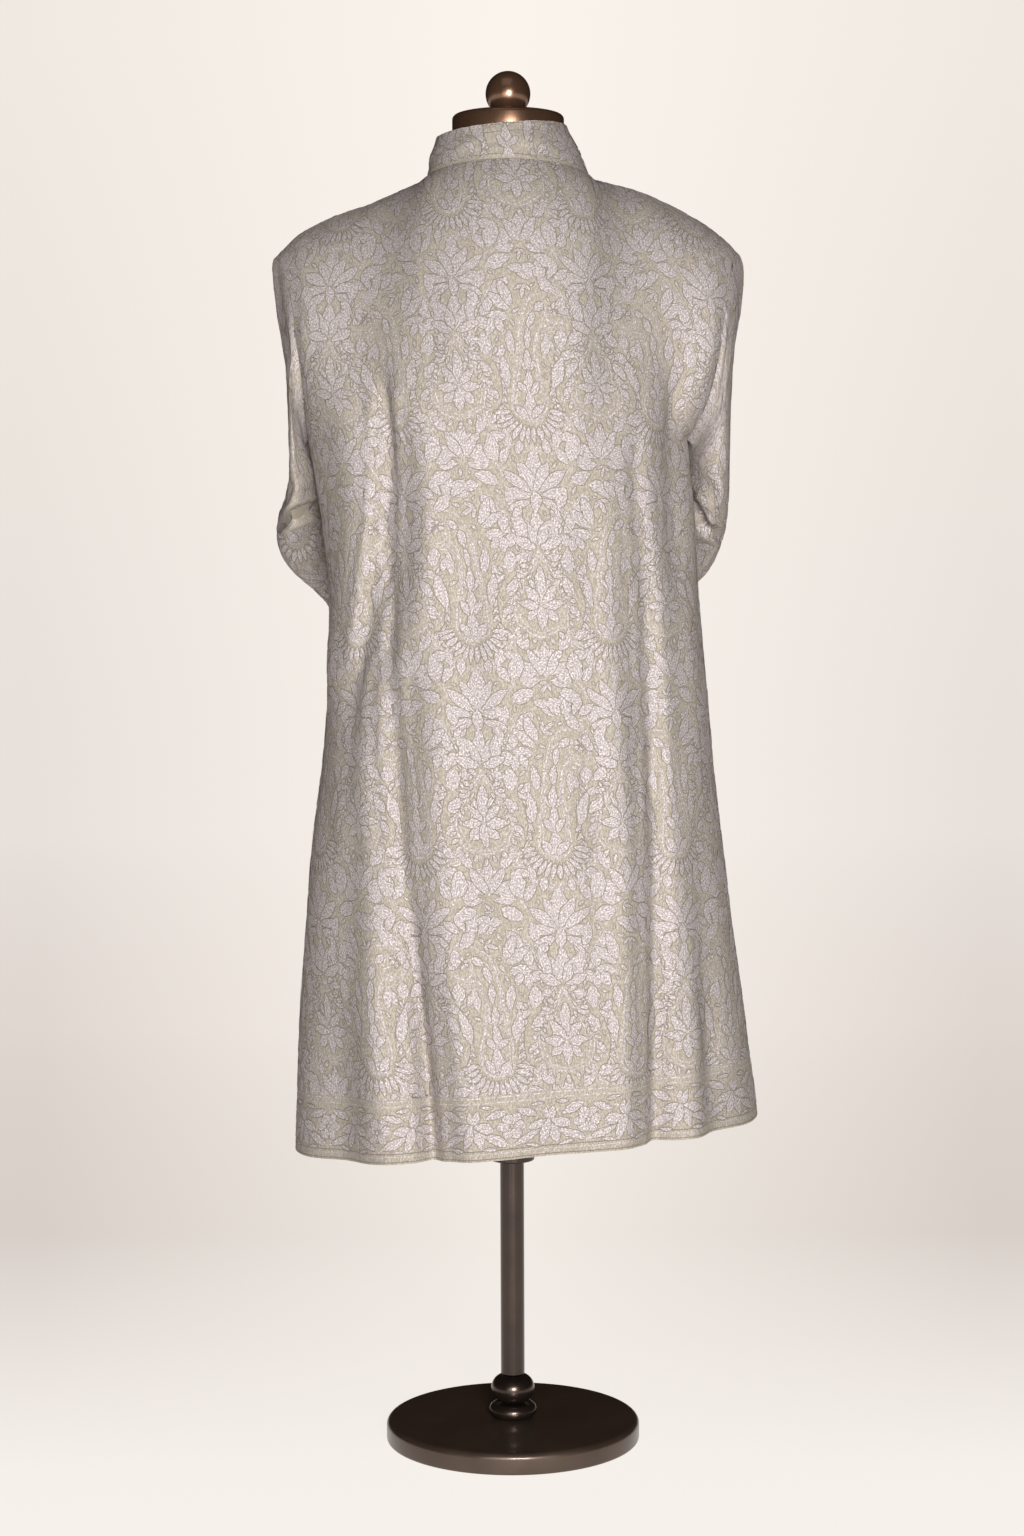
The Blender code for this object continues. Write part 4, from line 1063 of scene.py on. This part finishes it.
# Finishes
clothLook = {
    "ground": paint(186, 178, 165),
    "groundDark": paint(158, 149, 136),
    "groundLight": paint(210, 202, 195),
    "silk": paint(196, 188, 189),
    # the stitches' painted shade and painted highlight, around the silk's own tone
    "silkRowShade": paint(160, 151, 150),
    "silkHighlight": paint(236, 230, 228),
    # painted shade along the leaves' rims, where each leaf turns down over the next
    "outline": paint(134, 125, 109),
}


def makeClothFinish():
    finish = Finish("jacquardCloth", Roughness=0.8, Metallic=0.55)
    weave = finish.noise(620.0, 1.0, rough=0.7)
    thread = finish.noise(900.0, 1.0, stretch=(1.0, 1.0, 0.35))
    rise, drop, edge = finish.field("fromHem"), finish.field("fromNeck"), finish.field("fromEdge")
    tone = finish.mix(weave.past(0.5, 0.5), clothLook["groundDark"], clothLook["ground"])
    tone = finish.mix(thread.past(0.56, 0.22) * 0.7, tone, clothLook["groundLight"])
    seams = rise.near(2.2, 0.4, 0.4).top(rise.near(10.4, 0.4, 0.4))
    seams = seams.top(drop.near(1.2, 0.5, 0.5)).top(drop.near(6.6, 0.45, 0.5)).top(edge.near(6.0, 0.4, 0.4))
    tone = finish.mix(seams * 0.55, tone, paint(120, 112, 94))
    finish.to("Base Color", tone)
    finish.to("Roughness", 0.83 - weave * 0.08)
    finish.bump(weave * 0.5 + thread * 0.5 - seams * 0.8, 0.0005, 0.8)
    return finish.material


def makeSilkFinish():
    # long and short stitches that follow each leaf, with a painted highlight where a thread lies high and
    # painted shade in the low rows
    finish = Finish("silkStitches", Roughness=0.7, Metallic=0.6)
    thread = finish.part("ShaderNodeUVMap", {"uv_map": "thread"})
    rim = finish.field("rim")

    def stitchNoise(scale, stretch, detail):
        where = finish.part("ShaderNodeMapping", Vector=thread, Scale=stretch)
        return finish.part("ShaderNodeTexNoise", output="Fac", Vector=where, Scale=scale, Detail=detail)

    rows = stitchNoise(95.0, (0.55, 1.0, 1.0), 1.0)
    sheenFlecks = stitchNoise(75.0, (0.7, 1.0, 1.0), 0.0)
    # painted shade in the low stitch rows, a painted highlight on the high flecks
    tone = finish.mix(rows.past(0.5, 0.26), clothLook["silkRowShade"], clothLook["silk"])
    tone = finish.mix(sheenFlecks.past(0.58, 0.16) * 0.6, tone, clothLook["silkHighlight"])
    # painted shade along each leaf's rim
    edge = 1.0 - rim.past(0.85, 0.6)
    tone = finish.mix(edge * 0.85, tone, clothLook["outline"])
    finish.to("Base Color", tone)
    finish.to("Roughness", 0.80 - sheenFlecks * 0.1)
    finish.bump(rows * 0.6 + sheenFlecks * 0.4, 0.0006, 0.9)
    return finish.material


def makeLiningFinish():
    finish = Finish("satinLining", Roughness=0.38, Sheen_Weight=0.2)
    weave = finish.noise(700.0, 2.0, stretch=(1.0, 1.0, 0.3))
    finish.to("Base Color", finish.mix(weave, paint(150, 141, 124), paint(172, 163, 146)))
    finish.bump(weave, 0.0003, 0.5)
    return finish.material


def makeLinenFinish():
    finish = Finish("formLinen", Roughness=0.85)
    warp = finish.noise(600.0, 2.0, stretch=(1.0, 1.0, 0.12))
    weft = finish.noise(600.0, 2.0, stretch=(0.15, 0.15, 1.0))
    finish.to("Base Color", finish.mix(warp * 0.5 + weft * 0.5, paint(176, 163, 140), paint(214, 203, 182)))
    finish.bump(warp + weft, 0.0004, 0.6)
    return finish.material


def makeBronzeFinish(name, dark, light, metallic, gloss):
    finish = Finish(name, Metallic=metallic, Roughness=gloss, Coat_Weight=0.35, Coat_Roughness=0.12)
    cloud = finish.noise(22.0, 2.0)
    scuff = finish.noise(260.0, 2.0, stretch=(1.0, 1.0, 0.2))
    finish.to("Base Color", finish.mix(cloud, dark, light))
    finish.to("Roughness", gloss - 0.08 + cloud * 0.14 + scuff * 0.06)
    finish.bump(scuff, 0.00006, 0.4)
    return finish.material


clothFinish = makeClothFinish()
silkFinish = makeSilkFinish()
liningFinish = makeLiningFinish()
linenFinish = makeLinenFinish()
# one dark bronze in three copies: the cap and ball get a lighter, redder copy as painted light, the base a
# lighter one as painted light on its top
bronzeFinish = makeBronzeFinish("darkBronze", paint(56, 46, 41), paint(82, 69, 62), 0.85, 0.28)
capLitFinish = makeBronzeFinish("litBrownBronze", paint(104, 76, 58), paint(150, 116, 94), 0.8, 0.24)
baseLitFinish = makeBronzeFinish("baseLitBronze", paint(72, 58, 49), paint(98, 82, 71), 0.6, 0.36)
print("finishes made")


farOff = 99.0  # millimetres from a seam where none is drawn

# Back and fronts
panelGrid = {
    "collarSeam": 1.3206,
    "relax": 220,
    "back": {"columns": 192, "lower": 224, "upper": 96},
    "front": {"columns": 96, "lower": 192, "upper": 96},
}


def panelLevels(facts):
    lower = np.linspace(0.0, 1.0, facts["lower"] + 1)
    upper = 1.0 + np.linspace(0.0, 1.0, facts["upper"] + 1)[1:]
    return np.concatenate([lower, upper])


def relaxed(points, weight, rounds):
    # evens out the ridges that run down from the neck, the edges stay where they are
    for _ in range(rounds):
        middle = points[1:-1, 1:-1]
        mean = (points[:-2, 1:-1] + points[2:, 1:-1] + points[1:-1, :-2] + points[1:-1, 2:]) / 4.0
        points[1:-1, 1:-1] = middle + (mean - middle) * weight[1:-1, 1:-1, None]
    return points


def makePanel(name, face, side, node):
    facts = panelGrid["back" if face > 0 else "front"]
    levels = panelLevels(facts)
    if face > 0:
        spread = np.linspace(-1.0, 1.0, facts["columns"] + 1)
        spread = spread * (0.84 + 0.16 * spread * spread)
    else:
        spread = np.linspace(0.0, 1.0, facts["columns"] + 1)
    across, level = np.meshgrid(spread, levels)
    edge = 1.0 - 0.5 * jacket["seamGap"] / jacket["acrossLength"]
    across = np.clip(across, -edge, edge)
    if face < 0:
        across = openFront(across, level, side)
    outer = foldedSurface(face, across, level)
    share = np.abs(across)
    inHeight = ease((level - 1.12) / 0.35) * ease((1.99 - level) / 0.06)
    weight = inHeight * ease((share - 0.22) / 0.12) * ease((0.92 - share) / 0.14)
    outer = relaxed(outer, weight, panelGrid["relax"])
    onSeam = np.abs(across[-1]) >= jacket["neckShare"] - 1e-6
    outer[-1, :, 1] += np.where(onSeam, face * jacket["seamGap"] / 2, 0.0)
    normals = gridNormals(outer, (0.0, float(face), 0.0))
    normals[-1] = unit(normals[-2] + np.array([0.0, 0.0, 0.6]) * onSeam[:, None])
    u = arcLength(outer, 1) * 1000.0
    middle = facts["columns"] // 2
    u = -(u - u[:, middle:middle + 1]) if face > 0 else side * u
    up = arcLength(outer, 0) * 1000.0
    v = (panelGrid["collarSeam"] - outer[0, :, 2]) * 1000.0 - up
    neck = np.abs(across) < jacket["neckShare"] * 1.02
    fromNeck = np.where(neck, up[-1:] - up, farOff)
    fromEdge = np.abs(u) if face < 0 else np.full_like(up, farOff)
    fields = {"fromHem": up, "fromNeck": fromNeck, "fromEdge": fromEdge}
    piece = clothShell(name, outer, normals, fields)
    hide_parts(node)
    stitched = embroider(name + "Stitches", Cloth(outer, normals, u, v), up, True, 3 + face + side)
    return piece, stitched


jacketBack, backStitches = makePanel("jacketBack", 1, 1, "jacket_back")
jacketFrontLeft, frontLeftStitches = makePanel("jacketFrontLeft", -1, 1, "jacket_front_left")
jacketFrontRight, frontRightStitches = makePanel("jacketFrontRight", -1, -1, "jacket_front_right")
print("back and fronts made")


# Sleeves
sleeve = {
    "columns": 80,
    "headRows": 56,
    "armRows": 129,
    "armPlaces": 12,
    "frontPull": 0.040,
    "frontOut": 0.030,
    "under": (0.050, 0.025),
    "endShare": 0.80,
    "overTop": 1.2,
}
# place, x, y, height, half across, half along, turn
sleeveRings = {
    1: (
        (0, 0.2100, -0.022, 1.020, 0.014, 0.056, -12),
        (1, 0.2120, -0.038, 0.994, 0.019, 0.057, -18),
        (2, 0.2125, -0.068, 0.968, 0.028, 0.057, -26),
        (3, 0.190, -0.118, 0.938, 0.029, 0.054, -35),
        (4, 0.152, -0.182, 0.896, 0.029, 0.053, -46),
        (5, 0.108, -0.250, 0.858, 0.029, 0.050, -55),
    ),
    -1: (
        (0, 0.204, -0.034, 1.034, 0.022, 0.054, -13),
        (1, 0.202, -0.050, 1.006, 0.024, 0.055, -15),
        (2, 0.199, -0.078, 0.978, 0.027, 0.054, -20),
        (3, 0.187, -0.118, 0.949, 0.028, 0.053, -30),
        (4, 0.147, -0.180, 0.922, 0.029, 0.052, -42),
        (5, 0.106, -0.252, 0.890, 0.029, 0.050, -52),
    ),
}
sleeveTurn = {1: -10.0, -1: -12.0}
sleeveBackPull = {1: 0.018, -1: 0.030}

# creases across a sleeve as seen from behind (1) or the front (-1): from x, height to x, height, depth, width
sleeveCreases = {
    1: (
        (1, 0.248, 0.956, 0.190, 0.983, 0.0078, 0.0055),
        (1, 0.240, 0.975, 0.214, 1.010, 0.0022, 0.0060),
        (1, 0.232, 0.925, 0.205, 0.948, 0.0016, 0.0060),
        (1, 0.2305, 1.165, 0.2165, 1.100, 0.0022, 0.0035),
        (1, 0.219, 1.090, 0.214, 1.020, 0.0020, 0.0045),
        (-1, 0.180, 0.985, 0.236, 0.995, 0.0045, 0.0065),
        (-1, 0.184, 1.010, 0.230, 1.030, 0.0030, 0.0060),
        (-1, 0.178, 0.960, 0.226, 0.955, 0.0030, 0.0060),
        (-1, 0.232, 1.170, 0.214, 1.090, 0.0025, 0.0070),
        (-1, 0.150, 0.930, 0.176, 0.890, 0.0020, 0.0070),
        (-1, 0.120, 0.880, 0.140, 0.845, 0.0015, 0.0060),
    ),
    -1: (
        (1, -0.1865, 0.984, -0.204, 0.955, 0.0080, 0.0050),
        (1, -0.200, 0.957, -0.232, 0.940, 0.0066, 0.0050),
        (1, -0.222, 0.975, -0.196, 1.004, 0.0018, 0.0060),
        (1, -0.2265, 1.175, -0.2145, 1.085, 0.0026, 0.0035),
        (1, -0.216, 1.060, -0.2085, 1.000, 0.0014, 0.0060),
        (-1, -0.176, 1.000, -0.228, 1.010, 0.0045, 0.0065),
        (-1, -0.176, 1.026, -0.222, 1.046, 0.0028, 0.0060),
        (-1, -0.172, 0.975, -0.216, 0.972, 0.0030, 0.0060),
        (-1, -0.228, 1.170, -0.208, 1.100, 0.0024, 0.0070),
        (-1, -0.146, 0.950, -0.170, 0.915, 0.0020, 0.0070),
        (-1, -0.116, 0.912, -0.134, 0.880, 0.0015, 0.0060),
    ),
}


def armholeLoop(side):
    edge = 1.0 - 0.5 * jacket["seamGap"] / jacket["acrossLength"]
    rows = sleeve["columns"] + 1
    level = np.repeat((1.0 + np.linspace(0.0, 1.0, rows))[:, None], 3, axis=1)
    across = np.repeat(np.array([[edge - 0.0716, edge - 0.004, edge]]) * side, rows, axis=0)
    lines, ways = {}, {}
    for face in (1, -1):
        outer = foldedSurface(face, across, level, small=False)
        line = outer[:, 2]
        into = outer[:, 2] - outer[:, 0]
        normal = unit(np.cross(np.gradient(line, axis=0), outer[:, 2] - outer[:, 1]))
        way = unit(np.cross(normal, np.gradient(line, axis=0)))
        lines[face] = line
        ways[face] = way * np.sign(np.sum(way * into, axis=-1, keepdims=True))
    tipWay = unit(ways[1][-1] + ways[-1][-1])
    tip = (lines[1][-1] + lines[-1][-1]) / 2
    armpit = (lines[1][0] + lines[-1][0]) / 2
    loop = np.concatenate([[tip], lines[1][1:-1][::-1], [armpit], lines[-1][1:-1]])
    away = np.concatenate([[tipWay], ways[1][1:-1][::-1], [(0.0, 0.0, 1.0)], ways[-1][1:-1]])
    for _ in range(3):
        away = unit(away * 2.0 + np.roll(away, 1, axis=0) + np.roll(away, -1, axis=0))
    return loop + away * jacket["seamGap"], away


def sleevePath(side):
    rings = sleeveRings[side]
    coarse = np.linspace(0.0, rings[-1][0], sleeve["armPlaces"])
    x, y, height, out, long, turn = (tableValue(rings, column, coarse) for column in range(1, 7))
    centres = np.stack([side * x, y, height], axis=-1)
    along = unit(np.gradient(centres, axis=0))
    at = np.linspace(0.0, sleeve["armPlaces"] - 1, sleeve["armRows"])
    rows = np.arange(sleeve["armPlaces"])

    def fine(values):
        table = np.column_stack([rows, values])
        return np.stack([tableValue(table, column, at) for column in range(1, table.shape[1])], axis=-1)

    centres, along = fine(centres), unit(fine(along))
    out, long, turn = fine(out)[:, 0], fine(long)[:, 0], np.radians(fine(turn)[:, 0])
    aside = np.stack([side * np.cos(turn), np.sin(turn), np.zeros_like(turn)], axis=-1)
    aside = unit(aside - along * np.sum(aside * along, axis=-1, keepdims=True))
    back = np.cross(aside, along) * side
    return centres, along, aside, back * np.sign(back[0, 1]), out, long


def sleeveCreaseMove(points, normals, side):
    moved = np.zeros(points.shape[:2])
    for face, ax, az, bx, bz, depth, width in sleeveCreases[side]:
        dx, dz = bx - ax, bz - az
        along = ((points[..., 0] - ax) * dx + (points[..., 2] - az) * dz) / (dx * dx + dz * dz)
        inside = np.clip(along, 0.0, 1.0)
        off = np.hypot(points[..., 0] - ax - dx * inside, points[..., 2] - az - dz * inside)
        facing = ease((normals[..., 1] * face - 0.05) / 0.35)
        across = off / width
        ridge = np.exp(-(((across - 1.7) / 0.8) ** 2)) * ease((np.abs(along - 0.5) < 0.5) * 1.0)
        moved += depth * facing * (0.4 * ridge - np.exp(-(across ** 2)))
    return moved


def makeSleeve(name, side, node):
    loop, away = armholeLoop(side)
    centres, along, aside, back, halfOut, halfLong = sleevePath(side)
    place = np.arange(len(loop)) * 2.0 * math.pi / len(loop)
    angle = place + math.radians(sleeveTurn[side])
    arm = (
        centres[:, None] + aside[:, None] * (halfOut[:, None] * np.cos(angle))[..., None]
        + back[:, None] * (halfLong[:, None] * np.sin(angle))[..., None]
    )
    overTop = ease(0.5 + np.cos(place) / sleeve["overTop"])[:, None]
    under = np.array([side * sleeve["under"][0], 0.0, -sleeve["under"][1]])
    atFront = ease(0.5 - np.sin(place))[:, None]
    pull = away * (sleeveBackPull[side] + (sleeve["frontPull"] - sleeveBackPull[side]) * atFront)
    pull = pull + np.array([side * sleeve["frontOut"], 0.0, 0.0]) * atFront
    startPull = pull * overTop + under * (1.0 - overTop)
    endPull = along[0] * np.linalg.norm(arm[0] - loop, axis=-1, keepdims=True) * sleeve["endShare"]
    steps = np.linspace(0.0, 1.0, sleeve["headRows"] + 1)[:-1]
    head = np.stack([curve(loop, startPull, arm[0], endPull, step) for step in steps])
    outer = np.concatenate([head, arm])
    closedGrid = np.concatenate([outer[:, -1:], outer, outer[:, :1]], axis=1)
    normals = unit(np.cross(np.gradient(closedGrid, axis=1), np.gradient(closedGrid, axis=0)))[:, 1:-1]
    out = outer[-1] - outer[-1].mean(axis=0)
    normals = normals * np.sign(np.sum(normals[-1] * out))
    down = arcLength(outer, 0)
    free = ease(down / 0.02) * ease((down[-1:] - down) / 0.01 + 0.3)
    moved = (sleeveCreaseMove(outer, normals, side) + softWaves(outer) * 1.6) * free
    outer = outer + normals * moved[..., None]
    closedGrid = np.concatenate([outer[:, -1:], outer, outer[:, :1]], axis=1)
    fresh = unit(np.cross(np.gradient(closedGrid, axis=1), np.gradient(closedGrid, axis=0)))[:, 1:-1]
    normals = fresh * np.sign(np.sum(fresh * normals, axis=-1, keepdims=True))
    toCuff = (arcLength(outer, 0)[-1:] - arcLength(outer, 0)) * 1000.0
    plain = np.full_like(toCuff, farOff)
    fields = {"fromHem": toCuff, "fromNeck": plain, "fromEdge": plain}
    piece = clothShell(name, outer, normals, fields, closed=True)
    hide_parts(node)
    half = sleeve["columns"]
    turn = np.concatenate([np.arange(half, 2 * half), np.arange(0, half + 1)])
    seamed, away = outer[:, turn], normals[:, turn]
    u = arcLength(seamed, 1)
    u = (u - u[:, half:half + 1]) * 1000.0 * side + 70.0
    v = arcLength(seamed, 0).mean(axis=1, keepdims=True) * 1000.0 + 70.0 + u * 0
    stitched = embroider(name + "Stitches", Cloth(seamed, away, u, v), toCuff[:, turn], False, 20 + side)
    return piece, stitched


sleeveLeft, sleeveLeftStitches = makeSleeve("sleeveLeft", 1, "sleeve_left")
sleeveRight, sleeveRightStitches = makeSleeve("sleeveRight", -1, "sleeve_right")
print("sleeves made")


# Stand collar
collar = {
    "columns": 192,
    "rows": 24,
    "topHalf": 0.0665,
    "topShift": 0.0068,
    "topBack": 0.0645,
    "topFront": 0.0685,
    "topHeight": 1.3583,
    "tilt": -0.090,
    "frontDrop": 0.050,
    "endGap": 0.003,
    "bow": 0.0012,
    "wave": 0.0008,
}


def neckLine(count):
    # left front, back and right front in one line, with as many points for each as the neck has columns
    share = np.linspace(0.0, 1.0, 61)
    front = openFront(share * jacket["neckShare"], np.full(61, 2.0), 1)
    left = foldedSurface(-1, front, np.full(61, 2.0), small=False)
    back = foldedSurface(1, np.linspace(1.0, -1.0, 121) * jacket["neckShare"], np.full(121, 2.0), small=False)
    right = foldedSurface(-1, -front[::-1], np.full(61, 2.0), small=False)
    line = np.concatenate([left[:-1], back, right[1:]])
    wanted = np.linspace(0.0, 1.0, count + 1)
    place = np.linspace(0.0, 1.0, len(line))
    return np.stack([np.interp(wanted, place, line[:, axis]) for axis in range(3)], axis=-1)


def makeCollar():
    foot = neckLine(collar["columns"])
    inwards = unit(foot * np.array([-1.0, -1.0, 0.0]))
    foot = foot + (inwards + np.array([0.0, 0.0, 1.0])) * jacket["seamGap"]
    end = collar["endGap"] / 2.0 / collar["topFront"]
    angle = np.linspace(math.pi - end, end - math.pi, collar["columns"] + 1)
    depth = np.where(np.cos(angle) > 0, collar["topBack"], collar["topFront"])
    x, y = collar["topHalf"] * np.sin(angle), depth * np.cos(angle)
    drop = collar["frontDrop"] * np.clip(-np.cos(angle), 0.0, 1.0) ** 1.5
    z = collar["topHeight"] + collar["tilt"] * x - drop
    top = np.stack([x + collar["topShift"] * ease((np.cos(angle) + 1.0) * 1.5), y, z], axis=-1)
    steps = np.linspace(0.0, 1.0, collar["rows"] + 1)[:, None, None]
    outer = foot + (top - foot) * steps
    outwards = unit(outer * np.array([1.0, 1.0, 0.0]))
    wave = np.sin(steps * 9.0) * np.sin(angle * 7.0 + 1.0)[None, :, None]
    bow = np.sin(steps * math.pi) * collar["bow"] + wave * collar["wave"]
    outer = outer + outwards * bow * np.sin(steps * math.pi)
    normals = gridNormals(outer, (0.0, 1.0, 0.0))
    u = -(arcLength(outer, 1) - arcLength(outer, 1)[:, collar["columns"] // 2][:, None]) * 1000.0
    up = arcLength(outer, 0) * 1000.0
    plain = np.full_like(up, farOff)
    fields = {"fromHem": up[-1:] - up + 0.8, "fromNeck": up + 1.0, "fromEdge": plain}
    piece = clothShell("standCollar", outer, normals, fields)
    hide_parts("stand_collar")
    flatCloth = Cloth(outer, normals, u + 22.0, 250.0 - up)
    stitched = embroider("standCollarStitches", flatCloth, up + 4.0, False, 31)
    return piece, stitched


standCollar, collarStitches = makeCollar()
print("collar made")


# The stand: turned pieces, each grown ring by ring from one circle
stand = {
    "base": {
        "node": "base_disc", "sides": 160, "radius": 0.1328, "thick": 0.022, "bevel": 0.006, "foot": 0.003,
    },
    "ring": {"node": "foot_ring", "sides": 96, "radius": 0.0253, "top": 0.0374},
    "knob": {"node": "foot_knob", "sides": 96, "radius": 0.0229, "top": 0.068},
    "cap": {
        "node": "neck_cap", "sides": 128, "radius": 0.0573, "bottom": 1.3523, "top": 1.3758, "lip": 0.0045,
    },
    "ball": {"node": "ball_finial", "sides": 96, "radius": 0.0230, "centre": 1.3976, "seat": 1.3761},
}


def arcPoints(radius, height, size, start, end, steps):
    angles = np.radians(np.linspace(start, end, steps + 1))
    return [(radius + size * math.cos(angle), height + size * math.sin(angle)) for angle in angles]


def turnedPiece(name, node, outline, sides, finish):
    bpy.ops.object.select_all(action="DESELECT")
    radius, height = outline[0]
    bpy.ops.mesh.primitive_circle_add(
        vertices=sides, radius=radius, fill_type="NGON", location=(0.0, 0.0, height)
    )
    piece = bpy.context.object
    piece.name = name
    bpy.ops.object.transform_apply(location=True, rotation=False, scale=False)
    bpy.ops.object.mode_set(mode="EDIT")
    bpy.ops.mesh.select_all(action="SELECT")
    for (before, low), (after, high) in zip(outline, outline[1:]):
        bpy.ops.mesh.extrude_region_move(TRANSFORM_OT_translate={"value": (0.0, 0.0, high - low)})
        share = after / before
        bpy.ops.transform.resize(value=(share, share, 1.0), center_override=(0.0, 0.0, high))
    bpy.ops.mesh.select_all(action="SELECT")
    bpy.ops.mesh.normals_make_consistent(inside=False)
    bpy.ops.object.mode_set(mode="OBJECT")
    bpy.ops.object.shade_smooth_by_angle(angle=math.radians(32))
    piece.data.materials.append(finish)
    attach(piece, "root")
    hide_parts(node)
    return piece


def makeForm():
    # the torso under the cloth, drawn in a little where the cloth was evened out
    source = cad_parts["form_torso"]
    mesh = source.data.copy()
    mesh.name = "formTorso"
    mesh.materials.clear()
    mesh.materials.append(linenFinish)
    normals = [vertex.normal.copy() for vertex in mesh.vertices]
    for vertex, normal in zip(mesh.vertices, normals):
        z = vertex.co.z
        share = float(ease((z - 0.98) / 0.10) * ease((1.335 - z) / 0.03))
        vertex.co -= normal * 0.0065 * share
    piece = bpy.data.objects.new("formTorso", mesh)
    bpy.context.scene.collection.objects.link(piece)
    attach(piece, "root")
    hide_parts("form_torso")
    return piece


def makeStand():
    gap = jacket["seamGap"]
    base, ring, knob, cap, ball = (stand[name] for name in ("base", "ring", "knob", "cap", "ball"))
    outline = arcPoints(base["radius"] - base["foot"], base["foot"], base["foot"], -90, 0, 5)
    bevel = base["bevel"]
    outline += arcPoints(base["radius"] - bevel, base["thick"] - bevel, bevel, 0, 90, 8)
    outline += [(0.060, base["thick"]), (0.030, base["thick"])]
    turnedPiece("baseDisc", base["node"], outline, base["sides"], baseLitFinish)
    low = base["thick"] + gap
    half = (ring["top"] - low) / 2
    outline = arcPoints(ring["radius"] - half, low + half, half, -90, 90, 16) + [(0.008, ring["top"])]
    turnedPiece("footRing", ring["node"], outline, ring["sides"], bronzeFinish)
    low = ring["top"] + gap
    half = (knob["top"] - low) / 2
    outline = arcPoints(knob["radius"] - half, low + half, half, -80, 80, 20) + [(0.007, knob["top"])]
    turnedPiece("footKnob", knob["node"], outline, knob["sides"], bronzeFinish)
    lip = cap["lip"]
    outline = [(cap["radius"] - lip, cap["bottom"])]
    outline += arcPoints(cap["radius"] - lip / 2, cap["bottom"] + lip, lip / 2, -60, 0, 4)
    outline += arcPoints(cap["radius"] - lip, cap["top"] - lip, lip, 0, 90, 8) + [(0.020, cap["top"])]
    turnedPiece("neckCap", cap["node"], outline, cap["sides"], capLitFinish)
    start = math.degrees(math.asin((ball["seat"] - ball["centre"]) / ball["radius"]))
    outline = arcPoints(0.0, ball["centre"], ball["radius"], start, 88, 40)
    turnedPiece("ballFinial", ball["node"], outline, ball["sides"], capLitFinish)
    for name in ("pole", "pole_rod", "pole_clamp"):
        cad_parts[name].data.materials.clear()
        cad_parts[name].data.materials.append(bronzeFinish)


makeStand()
makeForm()
print("stand and form made")
